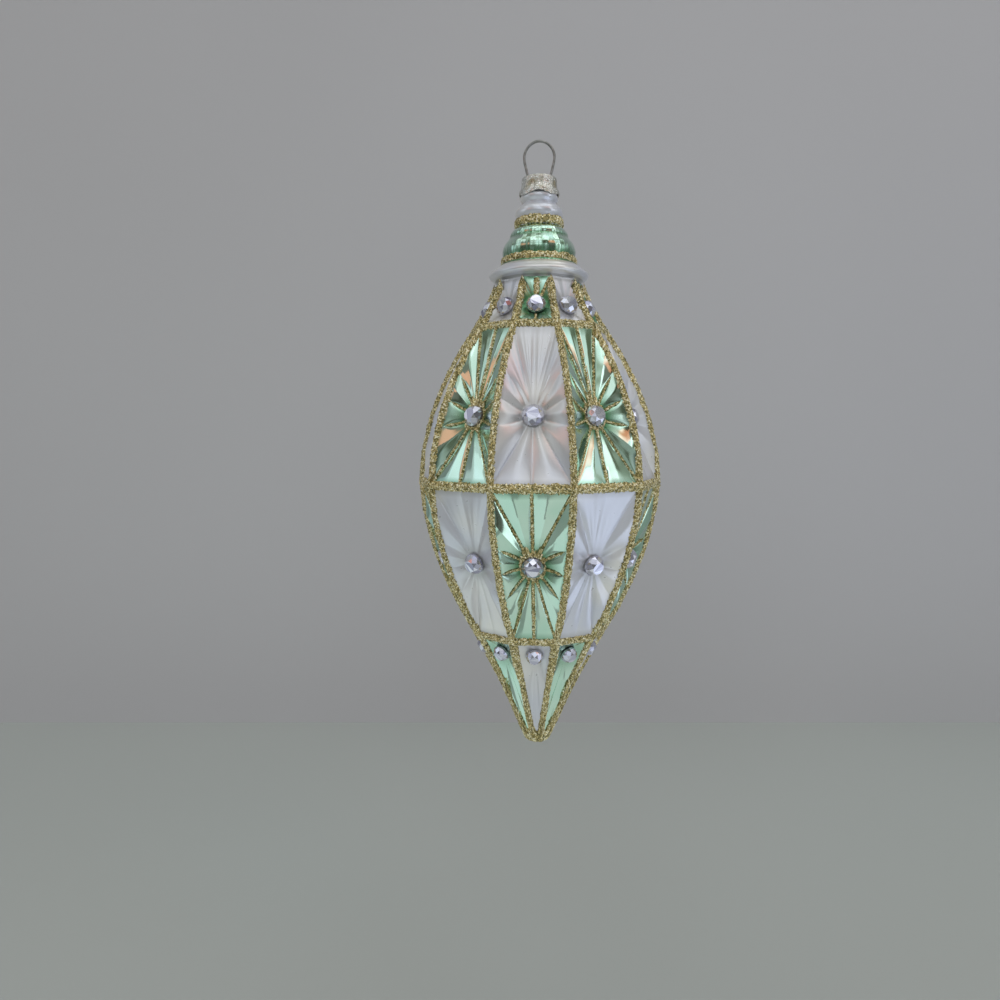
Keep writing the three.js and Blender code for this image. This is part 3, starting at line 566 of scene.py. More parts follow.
def curve_through(points, steps):
    """Smooth line through a few points, as a list of points."""
    points = np.array(points, float)
    padded = np.vstack([2 * points[0] - points[1], points, 2 * points[-1] - points[-2]])
    line = []
    for i in range(1, len(padded) - 2):
        a, b, c, d = padded[i - 1:i + 3]
        for t in np.arange(steps) / steps:
            bend = (2 * a - 5 * b + 4 * c - d) * t ** 2 + (3 * b - 3 * c + d - a) * t ** 3
            line.append(0.5 * (2 * b + (c - a) * t + bend))
    line.append(points[-1])
    return np.array(line)


# Finishes


def socket(sockets, key):
    """A socket by its identifier, or by its name with underscores for spaces."""
    for candidate in sockets:
        if key in (candidate.identifier, candidate.name.replace(" ", "_")):
            return candidate
    raise KeyError(key)


def add_node(tree, kind, output=None, stops=(), **settings):
    """Adds a node and gives back the named output, or else its first one.

    A setting is a property of the node or the value of an input, and another node's output is
    linked to that input. Stops are the positions and colours of a ramp.
    """
    node = tree.nodes.new("ShaderNode" + kind)
    for name, value in settings.items():
        if hasattr(node, name):
            setattr(node, name, value)
            continue
        entry = socket(node.inputs, name)
        if isinstance(value, bpy.types.NodeSocket):
            tree.links.new(value, entry)
        else:
            entry.default_value = (*value, 1.0) if entry.type == "RGBA" else value
    if stops:
        elements = node.color_ramp.elements
        while len(elements) < len(stops):
            elements.new(0.5)
        for element, (position, tone) in zip(elements, stops):
            element.position = position
            element.color = (*tone, 1.0)
    if output:
        return socket(node.outputs, output)
    return node.outputs[0] if node.outputs else None


COLOUR_MIX = {"kind": "Mix", "output": "Result_Color", "data_type": "RGBA"}
MULTIPLY = {**COLOUR_MIX, "blend_type": "MULTIPLY"}


def new_material(name, add_shader, *settings):
    """A material whose nodes a function adds, which gives back the shader's output."""
    material = bpy.data.materials.new(name)
    material.use_nodes = True
    tree = material.node_tree
    tree.nodes.clear()
    add_node(tree, "OutputMaterial", Surface=add_shader(tree, *settings))
    return material


def mint_lacquer(tree, glass):
    """Clear green lacquer on silvered glass: a tinted mirror, drawn deeper green where lacquer pools and
    where shade is painted, in grooves, beside ribs, round stones and on the neck's tiers.
    """
    place = add_node(tree, "TexCoord", "Object")
    pool = add_node(tree, "Attribute", "Fac", attribute_name="pool")
    cloud = add_node(tree, "TexNoise", Vector=place, Scale=1 / (9 * MM))
    tone = add_node(tree, "ValToRGB", Fac=cloud, stops=[(0.35, (0.86, 0.95, 0.92)), (0.65, (1, 1, 1))])
    # Deeper green where lacquer pools and where shade is painted
    tint = add_node(tree, **COLOUR_MIX, Factor_Float=pool, A_Color=glass.mint, B_Color=glass.pooled_and_shaded_mint)
    tinted = add_node(tree, **MULTIPLY, Factor_Float=1.0, A_Color=tint, B_Color=tone)
    wobble = add_node(tree, "TexNoise", Vector=place, Scale=1 / (5 * MM), Detail=1.0)
    bump = add_node(tree, "Bump", Height=wobble, Strength=0.35, Distance=0.25 * MM)
    softness = add_node(tree, "MapRange", Value=pool, To_Min=0.08, To_Max=0.34)
    return add_node(
        tree, "BsdfPrincipled", Base_Color=tinted, Roughness=softness, Normal=bump,
        Metallic=1.0, Coat_Weight=0.5, Coat_Roughness=0.03,
    )


def pearl_lacquer(tree, glass):
    """Pearl lacquer on silvered glass: satin, half metallic, with a faint lavender cast, greyed by painted
    shade beside the ribs, round the stones and under the collar, and whitest in the grooves as a painted
    highlight.
    """
    place = add_node(tree, "TexCoord", "Object")
    pool = add_node(tree, "Attribute", "Fac", attribute_name="pool")
    cloud = add_node(tree, "TexNoise", Vector=place, Scale=1 / (14 * MM), Detail=1.0)
    cast = add_node(tree, "ValToRGB", Fac=cloud, stops=[(0.38, glass.cool_pearl), (0.62, glass.pearl)])
    # Grey for painted shade, and lightest in the grooves as a painted highlight
    shaded = add_node(tree, **COLOUR_MIX, Factor_Float=pool, A_Color=cast, B_Color=linear("#a5a3a2"))
    fine = add_node(tree, "TexNoise", Vector=place, Scale=1 / (1.2 * MM), Detail=3.0)
    softness = add_node(tree, "MapRange", Value=fine, To_Min=0.24, To_Max=0.36)
    return add_node(
        tree, "BsdfPrincipled", Base_Color=shaded, Roughness=softness,
        Metallic=0.45, Coat_Weight=0.4, Coat_Roughness=0.15,
    )


def gold_glitter(tree, glitter):
    """Metallised film flakes in clear glue: each flake has its own tilt, and a painted glint or shade that
    stands in for the light it catches.

    Real flakes are too fine to show, so these cells are drawn as coarse as they need to be.
    """
    place = add_node(tree, "TexCoord", "Object")
    flake = add_node(tree, "Attribute", "Fac", attribute_name="flake")
    distance = add_node(tree, "TexVoronoi", feature="F1", Vector=place, Scale=1 / (0.2 * MM))
    shade = add_node(tree, "SeparateXYZ", Vector=distance.node.outputs["Color"])
    both = add_node(
        tree, "Mix", "Result_Float", data_type="FLOAT", Factor_Float=0.5, A_Float=flake, B_Float=shade,
    )
    # The dark stops are painted shade, the bright and near white ones painted glints
    tone = add_node(tree, "ValToRGB", Fac=both, stops=[
        (0.0, linear("#5c5c38")), (0.2, glitter.painted_dark_flakes), (0.36, linear("#a79864")),
        (0.52, glitter.gold), (0.68, glitter.bright), (0.82, linear("#fffbe6")),
    ])
    tone.node.color_ramp.interpolation = "CONSTANT"
    bump = add_node(tree, "Bump", Height=distance, Strength=0.5, Distance=0.06 * MM)
    return add_node(
        tree, "BsdfPrincipled", Base_Color=tone, Normal=bump, Metallic=0.62, Roughness=0.46,
    )


def foiled_stone(tree, stone):
    """Cut glass with foil behind it: every facet has a painted reflection, its own light or dark tone."""
    facet = add_node(tree, "Attribute", "Fac", attribute_name="facet")
    tone = add_node(tree, **COLOUR_MIX, Factor_Float=facet, A_Color=stone.painted_dark_facets, B_Color=stone.light)
    return add_node(
        tree, "BsdfPrincipled", Base_Color=tone, Metallic=0.75, Roughness=0.1,
        Coat_Weight=1.0, Coat_Roughness=0.02,
    )


def stamped_aluminium(tree):
    """Thin aluminium sheet, stamped with a fine crinkle and worn a little yellow, with painted shade along
    the crinkle's creases.

    The crinkle's cells are drawn wider than the real ones, so that they show.
    """
    place = add_node(tree, "TexCoord", "Object")
    crackle = add_node(
        tree, "TexVoronoi", feature="DISTANCE_TO_EDGE", Vector=place, Scale=1 / (0.36 * MM),
    )
    # Painted shade in the crinkle's creases
    line = add_node(tree, "ValToRGB", Fac=crackle, stops=[(0.0, (0.25, 0.24, 0.2)), (0.2, (1, 1, 1))])
    stain = add_node(tree, "TexNoise", Vector=place, Scale=1 / (2.5 * MM))
    sheet = add_node(
        tree, "ValToRGB", Fac=stain, stops=[(0.34, linear("#c4bca4")), (0.52, linear("#f3f2ee"))],
    )
    stain_and_crease_shade = add_node(tree, **MULTIPLY, Factor_Float=0.8, A_Color=sheet, B_Color=line)
    bump = add_node(tree, "Bump", Height=crackle, Strength=1.0, Distance=0.13 * MM)
    return add_node(
        tree, "BsdfPrincipled", Base_Color=stain_and_crease_shade, Normal=bump, Metallic=1.0, Roughness=0.27,
    )


def drawn_steel(tree):
    """Drawn spring steel wire: dull grey, with fine clouds where the drawing polished it more."""
    place = add_node(tree, "TexCoord", "Object")
    cloud = add_node(tree, "TexNoise", Vector=place, Scale=1 / (0.8 * MM), Detail=3.0)
    tone = add_node(
        tree, "ValToRGB", Fac=cloud, stops=[(0.3, linear("#7a7976")), (0.7, linear("#a5a4a1"))],
    )
    return add_node(tree, "BsdfPrincipled", Base_Color=tone, Metallic=1.0, Roughness=0.36)


def matt_paint(tree, shade):
    """Matt wall or table paint, with a faint unevenness."""
    place = add_node(tree, "TexCoord", "Object")
    patch = add_node(tree, "TexNoise", Vector=place, Scale=1 / (220 * MM), Detail=1.0)
    tone = add_node(tree, "ValToRGB", Fac=patch, stops=[(0.3, [c * 0.96 for c in shade]), (0.7, shade)])
    return add_node(tree, "BsdfPrincipled", Base_Color=tone, Roughness=0.75)


# Pieces


class ORNAMENT_OT_press_glass(bpy.types.Operator):
    """Build the blown body: forty pressed panels, collar, tiers, bulge and spout"""

    bl_idname = "ornament.press_glass"
    bl_label = "Press Glass"

    shares = (0, 0.05, 0.12, 0.2, 0.3, 0.41, 0.52, 0.63, 0.74, 0.84, 0.93, 1)
    small_shares = (0, 0.1, 0.24, 0.4, 0.58, 0.75, 0.9, 1)
    # Height of the lower green tier, up to the crease between the two
    tier_height = 4.5 * MM
    pearl_crease = math.radians(60)

    def execute(self, context):
        glass = context.scene.ornament_glass
        stars = all_stars(glass)
        body = Patchwork()
        top_line, tip_line = [], []
        for star in stars:
            shares = self.shares if star.row.relief == 1 else self.small_shares
            rows, pool_and_shade_values = [], []
            for share in shares:
                points, pool = star.surface(star.columns(share), share)
                rows.append(star.to_model(points))
                pool_and_shade_values.append(pool)
            rows.insert(0, np.repeat(star.seat[None], len(rows[0]), axis=0))
            pool_and_shade_values.insert(0, np.zeros(len(rows[0])))
            body.add(rows[::-1], closed=True, material=MINT if star.green else PEARL, values=pool_and_shade_values[::-1])
            if star.row is ROWS[0]:
                tip_line += star.edge_line(0, star.bottom_end)
            if star.row is ROWS[-1]:
                top_line += star.edge_line(star.top_start, star.top_end)[::-1]
        self.add_neck(body, np.array(top_line), glass)
        dome = [dome_row(np.array(tip_line), share) for share in (1.0, 0.75, 0.5, 0.25, 0.0)]
        body.add(dome, closed=True, material=PEARL)
        piece = body.make("pressed_glass", distance=0.004 * MM, attribute="pool")
        piece.data.materials.append(new_material("silvered_glass_mint_lacquer", mint_lacquer, glass))
        piece.data.materials.append(new_material("silvered_glass_pearl_lacquer", pearl_lacquer, glass))
        shade_smooth(piece, degrees=24)
        self.soften_pearl(piece)
        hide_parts("glass_body")
        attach(piece, "glass")
        return {"FINISHED"}

    def soften_pearl(self, piece):
        """The pearl panels have no sharp creases, only the green ones do."""
        mesh = bmesh.new()
        mesh.from_mesh(piece.data)
        for edge in mesh.edges:
            pearl = all(face.material_index == PEARL for face in edge.link_faces)
            if pearl and edge.calc_face_angle(0) < self.pearl_crease:
                edge.smooth = True
        mesh.to_mesh(piece.data)
        mesh.free()

    def add_neck(self, body, line, glass):
        """Rings from the shoulder line up: the flat-sided line turns round under the collar."""
        angles = np.arctan2(line[:, 1], line[:, 0])
        line = line[np.argsort(angles)]
        angles = np.sort(angles)
        line_radii = np.hypot(line[:, 0], line[:, 1])
        low_ring, high_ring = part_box("collar_glitter_ring"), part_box("neck_glitter_ring")
        collar_ring_z, tier_z = low_ring[0].z - GLITTER_GAP, low_ring[1].z + GLITTER_GAP
        neck_ring_z, bulge_z = high_ring[0].z - GLITTER_GAP, high_ring[1].z + GLITTER_GAP
        wire_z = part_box("spring_hanger")[0].z
        collar_top, ring_seat, crease = 9.0 * MM, 8.25 * MM, 6.8 * MM
        neck_seat, groove, spout, bore = 5.15 * MM, 3.95 * MM, 3.5 * MM, 2.95 * MM
        # Height and radius of each corner, and how far the outline bows out before it
        stretches = [
            (PEARL, [
                (SHOULDER_Z, SHOULDER_RADIUS, 0),
                (SHOULDER_Z + 0.8 * MM, 10.85 * MM, 0.1 * MM),
                (COLLAR_Z + 0.2 * MM, 10.75 * MM, 0.7 * MM),
                (collar_ring_z, collar_top, 0.2 * MM),
            ]),
            (MINT, [
                (collar_ring_z, collar_top, 0),
                (tier_z, ring_seat, -0.2 * MM),
                (tier_z + self.tier_height, crease, 0.75 * MM),
                (neck_ring_z, neck_seat, 0.45 * MM),
            ]),
            (PEARL, [
                (neck_ring_z, neck_seat, 0),
                (bulge_z, neck_seat, 0),
                (bulge_z + 3.3 * MM, groove, 0.85 * MM),
                (bulge_z + 3.7 * MM, groove, -0.1 * MM),
                (bulge_z + 6.0 * MM, spout, 0.6 * MM),
                (bulge_z + 8.4 * MM, spout, 0),
                (bulge_z + 8.4 * MM, bore, 0),
                (wire_z - 1.0 * MM, bore, 0),
                (wire_z - 1.5 * MM, 0, 0),
            ]),
        ]
        # Forty reeds, a little closer together in some places than in others
        reed_angles = 40 * angles + 1.2 * np.sin(3 * angles) + 0.8 * np.sin(7 * angles)
        random = np.random.default_rng(7)
        streaks = random.uniform(0, 1, len(angles))
        for material, corners in stretches:
            rows, pool_and_shade_values = [], []
            outline = curve_through(self.bowed_outline(corners), steps=4)
            for z, radius in self.without_spare_points(outline):
                roundness = np.clip((z - SHOULDER_Z) / (0.8 * MM), 0, 1)
                reeds = self.reed(z, tier_z, neck_ring_z) * glass.reed_depth
                radii = line_radii * (1 - roundness) + (radius + reeds * np.cos(reed_angles)) * roundness
                rows.append(flat(angles, radii) + UP * z)
                spots = 0.5 * streaks + 0.5 * random.uniform(0, 1, len(angles))
                if material == MINT:
                    # Painted shade at the tiers' feet and crease, with random streaks
                    pool_and_shade_values.append(np.clip(self.neck_pool(z, tier_z) + 0.9 * (spots - 0.35), 0, 1))
                else:
                    # Painted shade on the pearl under the collar's lip, plain pearl above it
                    in_shade = z < SHOULDER_Z + 0.5 * MM
                    pool_and_shade_values.append(np.full(len(angles), 0.7 if in_shade else PEARL_POOL))
            body.add(rows, closed=True, material=material, values=pool_and_shade_values)

    @staticmethod
    def bowed_outline(corners):
        """Points through an outline's corners, with each stretch's middle bowed out."""
        points = [corners[0][:2]]
        for (low_z, low_radius, _), (z, radius, bow) in zip(corners, corners[1:]):
            for share in (1 / 3, 2 / 3, 1):
                bowed = low_radius + (radius - low_radius) * share + 4 * bow * share * (1 - share)
                points.append((low_z + (z - low_z) * share, bowed))
        return points

    @staticmethod
    def without_spare_points(line):
        """The line without the points that lie straight between their neighbours."""
        steps = np.diff(line, axis=0)
        before, after = steps[:-1], steps[1:]
        bend = np.abs(before[:, 0] * after[:, 1] - before[:, 1] * after[:, 0])
        straight = 1e-6 * np.linalg.norm(before, axis=1) * np.linalg.norm(after, axis=1)
        return line[np.concatenate([[True], bend > straight, [True]])]

    def neck_pool(self, z, tier_z):
        """Pooled lacquer with painted shade: deep green at the foot of each green tier, under its glitter
        ring, and in the crease between the two tiers.
        """
        foot = np.clip(1 - (z - tier_z) / (2.2 * MM), 0, 1)
        crease = np.exp(-(((z - tier_z - self.tier_height) / (0.45 * MM)) ** 2))
        return float(np.clip(0.85 * foot + 0.7 * crease, 0, 1))

    @staticmethod
    def reed(z, low, high):
        """Strength of the reeds: on the shoulder of each of the two tiers."""
        share = np.clip((z - low) / (high - low), 0, 1)
        return abs(math.sin(2 * math.pi * share)) ** 0.7 if 0 < share < 1 else 0.0


class ORNAMENT_OT_lay_ribs(bpy.types.Operator):
    """Lay the glitter on the ridges, on the three ring lines and over the tip"""

    bl_idname = "ornament.lay_ribs"
    bl_label = "Lay Ribs"

    # Section of half a rib, from its middle to its edge: share of its width and of its height
    levels = (0, 0.2, 0.42, 0.64, 0.84, 1.0)
    lifts = (1.0, 0.97, 0.84, 0.62, 0.34, -0.15)
    tip_width = 2.2 * MM

    def execute(self, context):
        glitter = context.scene.ornament_glitter
        stars = all_stars(context.scene.ornament_glass)
        layer = Patchwork()
        for star in stars:
            self.add_frame(layer, star, glitter)
        self.add_tip(layer, stars[:SECTORS], glitter)
        piece = layer.make("rib_glitter", distance=0.01 * MM)
        roughen(piece, height=0.08 * MM, spread=0.08 * MM, seed=11)
        piece.data.materials.append(new_material("gold_glitter_in_glue", gold_glitter, glitter))
        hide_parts("glitter_lattice")
        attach(piece, "glass")
        return {"FINISHED"}

    @staticmethod
    def steps_between(star, segments, grain):
        """Places on border segments, one for each flake."""
        places = []
        for k in segments:
            size = np.linalg.norm(star.border[(k + 1) % star.count] - star.border[k])
            steps = max(2, round(size / grain))
            places += [k + i / steps for i in range(steps)]
        return np.array(places)

    def add_frame(self, layer, star, glitter):
        """Half of each rib round one panel; the next panel's frame has the other half."""
        is_top = star.row is ROWS[-1]
        sides = (slice(star.bottom_end, star.top_start), slice(star.top_end, None))
        random = np.random.default_rng(100 * star.row_number + star.sector)
        places = self.steps_between(star, range(star.count), glitter.grain)
        if is_top:
            places = places[(places <= star.top_start) | (places >= star.top_end)]
        widths = np.full((star.count, len(places)), glitter.line_width)
        side_width = glitter.rib_width
        if star.row is ROWS[0]:
            side_width = glitter.tip_rib_width * (0.6 + 0.4 * star.border_shares(places)[:, 1])
            widths[:star.bottom_end] = self.tip_width
        for side in sides:
            widths[side] = side_width
        waver = uneven(random, len(places), spread=0.1, low=0.8, high=1.25)
        rib_normal = star.rib_normal(places)
        rows = []
        for level, lift in zip(self.levels, self.lifts):
            wavering = level * waver if level > 0.5 else level
            share = star.inset_share(places, widths, wavering) if level else np.ones(len(places))
            direction = unit(rib_normal * (1 - level) + star.normal * level)
            rows.append(star.over_glass(places, share) + direction * lift * glitter.rib_height)
        if not is_top:
            layer.add(rows[::-1], closed=True)
            return
        split = int(np.argmax(places >= star.top_end))
        for part in (slice(0, split), slice(split, len(places))):
            layer.add([row[part] for row in rows][::-1])
        layer.add([np.stack([row[-1], row[0]]) for row in rows][::-1])

    def add_tip(self, layer, stars, glitter):
        """The covered tip, from the line under the tip row down to its end."""
        line, normals = [], []
        for star in stars:
            places = self.steps_between(star, (0, 1), glitter.grain)
            line += list(star.over_glass(places, 1.0))
            normals += list(star.rib_normal(places))
        line = np.array(line)
        level = unit(line * [1, 1, 0])
        rows = [line + np.array(normals) * glitter.rib_height]
        for share in (0.3, 0.55, 0.78, 0.999):
            bend = share * math.pi / 2
            direction = level * math.cos(bend) - UP * math.sin(bend)
            rows.append(dome_row(line, share) + direction * glitter.rib_height)
        layer.add(rows[::-1], closed=True)


class ORNAMENT_OT_lay_stars(bpy.types.Operator):
    """Lay the glitter in the stars of the green panels, and the strokes over the shoulder's stones"""

    bl_idname = "ornament.lay_stars"
    bl_label = "Lay Stars"

    # Section of a ray, from edge to edge: share of its width and of its height
    across = (-1, -0.6, 0, 0.6, 1)
    lifts = (-0.1, 0.75, 1.0, 0.75, -0.1)

    # How far the glitter round a stone reaches, as a share, under it and once more over it
    collar_reach = 0.05
    # A leaf's ray ends this share short of the leaf, and tapers over the last part
    leaf_short, leaf_taper = 0.05, 0.12

    # Border points that the shoulder's strokes run to, and the strokes' widths, by turns
    strokes = (
        (((0, 1), 2.0), ((1, 1), 1.3), ((0, 0), 0.8)),
        (((0, 1), 1.8), ((-1, 1), 1.4), ((0, 0), 0.8)),
        (((0, 1), 1.6), ((1, 1), 1.1), ((-1, 1), 1.0), ((0, 0), 0.8)),
    )

    def execute(self, context):
        glitter = context.scene.ornament_glitter
        material = new_material("gold_glitter_in_glue", gold_glitter, glitter)
        for star in all_stars(context.scene.ornament_glass):
            if not star.green or star.row.name == "tip":
                continue
            name = star.row.name
            number = star.sector + 1
            seed = 40 * star.row_number + star.sector
            random = np.random.default_rng(seed)
            layer = Patchwork()
            if name == "shoulder":
                for place, width in self.strokes[star.sector % len(self.strokes)]:
                    self.add_ray(layer, star, star.loop.index(place), width, glitter, random)
            else:
                for ray in range(0, star.count, 2):
                    width = 0.85 if star.leaf[ray] else 1.0
                    self.add_ray(layer, star, ray, width, glitter, random)
                self.add_collar(layer, star, glitter, random)
            piece = layer.make(f"{name}_star_glitter_{number:02d}", distance=0.004 * MM)
            roughen(piece, height=0.07 * MM, spread=0.06 * MM, seed=seed)
            piece.data.materials.append(material)
            if name != "shoulder":
                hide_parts(f"{name}_star_{number:02d}")
            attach(piece, "glass")
        return {"FINISHED"}

    def add_ray(self, layer, star, ray, width, glitter, random):
        """One bead of glitter in a groove, from the stone to the rib or to the leaf's end."""
        reach = np.linalg.norm((star.border[ray] - star.hub[ray])[:2])
        is_leaf = star.leaf[ray]
        end = star.glass.leaf_reach - self.leaf_short if is_leaf else 1 - 0.6 * glitter.rib_width / reach
        count = max(6, round(reach * end / (0.85 * glitter.grain)))
        shares = np.linspace(0.0, end, count)
        taper = np.clip((end - shares) / self.leaf_taper, 0.25, 1) if is_leaf else np.ones(count)
        waver = uneven(random, count, spread=0.12, low=0.75, high=1.3)
        half = glitter.ray_width * width * taper * waver
        rows = []
        for across, lift in zip(self.across, self.lifts):
            beside = (ray + (1 if across >= 0 else -1)) % star.count
            gap = star.spoke(beside, shares[:, None]) - star.spoke(ray, shares[:, None])
            aside = np.clip(across * half / np.linalg.norm(gap[:, :2], axis=1), -0.95, 0.95)
            height = lift * glitter.ray_height * np.clip(taper, 0.5, 1)
            rows.append(star.over_glass(ray + aside + star.count, shares, height))
        layer.add(rows[::-1])

    def add_collar(self, layer, star, glitter, random):
        """Glitter gathered round the stone, further out over it than under it."""
        count = max(40, round(2 * math.pi * star.seat_radius / (0.8 * glitter.grain)))
        places = np.linspace(0, star.count, count, endpoint=False)
        hub, _ = star.surface(places, 0.0)
        outward = unit(hub * [1, 1, 0])
        upward = np.clip(outward[:, 1], 0, 1)
        waver = uneven(random, count, spread=0.5, low=0.2, high=2.2)
        reach = (self.collar_reach + self.collar_reach * upward) * waver
        inside = outward * (star.stone_radius + 0.05 * MM)
        rows = [star.to_model(inside + [0, 0, 0.3 * MM])]
        for part, lift in ((0.0, 0.9), (0.5, 0.8), (0.85, 0.45), (1.0, -0.1)):
            rows.append(star.over_glass(places, reach * part, lift * glitter.ray_height))
        layer.add(rows[::-1], closed=True)


class ORNAMENT_OT_lay_rings(bpy.types.Operator):
    """Lay the two glitter rings on the neck"""

    bl_idname = "ornament.lay_rings"
    bl_label = "Lay Rings"

    thickness = 0.75 * MM

    def execute(self, context):
        glitter = context.scene.ornament_glitter
        for seed, name in enumerate(("collar_glitter_ring", "neck_glitter_ring")):
            low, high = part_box(name)
            middle = (low.z + high.z) / 2
            radius = high.x - 0.6 * self.thickness
            deselect()
            bpy.ops.mesh.primitive_torus_add(
                major_radius=radius,
                minor_radius=self.thickness / 2,
                major_segments=round(2 * math.pi * radius / glitter.grain),
                minor_segments=12,
                location=(0, 0, 0),
            )
            piece = rename(bpy.context.object, name.replace("_ring", "_band"))
            stretch = Matrix.Diagonal((1, 1, 1.3 * (high.z - low.z) / self.thickness, 1))
            piece.data.transform(Matrix.Translation((0, 0, middle)) @ stretch)
            self.waver(piece, middle, seed)
            roughen(piece, height=0.06 * MM, spread=0.07 * MM, seed=70 + seed)
            piece.data.materials.append(new_material("gold_glitter_in_glue", gold_glitter, glitter))
            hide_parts(name)
            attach(piece, "glass")
        return {"FINISHED"}

    @staticmethod
    def waver(piece, middle, seed):
        """Makes the ring's edges uneven, as brushed-on glue leaves them."""
        random = np.random.default_rng(seed)
        phases = random.uniform(0, 2 * math.pi, 4)
        for vertex in piece.data.vertices:
            angle = math.atan2(vertex.co.y, vertex.co.x)
            above = 1.3 if vertex.co.z > middle else 0
            waves = zip((5, 11, 17, 29), phases)
            wave = sum(math.sin(turns * angle + phase + above) for turns, phase in waves)
            vertex.co.z = middle + (vertex.co.z - middle) * (1 + 0.09 * wave)


class ORNAMENT_OT_set_stones(bpy.types.Operator):
    """Cut one stone of each size and set a copy in every star"""

    bl_idname = "ornament.set_stones"
    bl_label = "Set Stones"

    def execute(self, context):
        stone = context.scene.ornament_stone
        material = new_material("foil_backed_cut_glass", foiled_stone, stone)
        cuts = {}
        for star in all_stars(context.scene.ornament_glass):
            size = star.row.stone
            if size not in cuts:
                cuts[size] = self.cut(*size, stone)
                cuts[size].data.materials.append(material)
            number = star.sector + 1
            node = f"{star.row.name}_stone_{number:02d}"
            piece = cuts[size].copy()
            piece.data = cuts[size].data.copy()
            rename(piece, f"cut_{node}")
            context.scene.collection.objects.link(piece)
            seat = star.seat + star.normal * stone.glue
            axes = Matrix((star.across, star.along, star.normal)).transposed().to_4x4()
            # No two neighbours are turned the same way
            turn = Matrix.Rotation(0.35 * (7 * number % 5), 4, "Z")
            piece.data.transform(Matrix.Translation(seat) @ axes @ turn)
            # The small stones at the tip lie in shade, so their painted reflections differ less
            spread = 0.45 if star.row.name == "tip" else 1.0
            self.paint_facet_reflections(piece.data, spread, seed=number + 10 * star.row_number)
            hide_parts(node)
            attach(piece, "glass")
        for pattern in cuts.values():
            bpy.data.objects.remove(pattern)
        return {"FINISHED"}

    def cut(self, radius, height, stone):
        """A flat-backed round brilliant: girdle, sixteen lower and eight upper facets, table."""
        # Corners, radius, height and turn of each level, from the back up
        levels = [
            (16, radius, 0.0, 0.0),
            (16, radius, height * stone.girdle, 0.0),
            (8, radius * 0.84, height * 0.68, math.pi / 8),
            (8, radius * stone.table, height, 0.0),
        ]
        deselect()
        for i, (corners, wide, z, turn) in enumerate(levels):
            bpy.ops.mesh.primitive_circle_add(
                vertices=corners, radius=wide, location=(0, 0, z), rotation=(0, 0, turn),
            )
            if i == 0:
                piece = bpy.context.object
                bpy.ops.object.mode_set(mode="EDIT")
        bpy.ops.mesh.select_all(action="SELECT")
        bpy.ops.mesh.convex_hull()
        bpy.ops.mesh.normals_make_consistent(inside=False)
        bpy.ops.object.mode_set(mode="OBJECT")
        return piece

    @staticmethod
    def paint_facet_reflections(mesh, spread, seed):
        """Gives each facet a painted reflection: a random tone for what the foil would show through it."""
        random = np.random.default_rng(seed)
        odds = [0.16, 0.2, 0.24, 0.2, 0.2]
        tones = random.choice([0.1, 0.35, 0.6, 0.8, 1.0], len(mesh.polygons), p=odds)
        facet = mesh.attributes.new("facet", "FLOAT", "FACE")
        facet.data.foreach_set("value", (0.5 + (tones - 0.5) * spread).astype(np.float32))


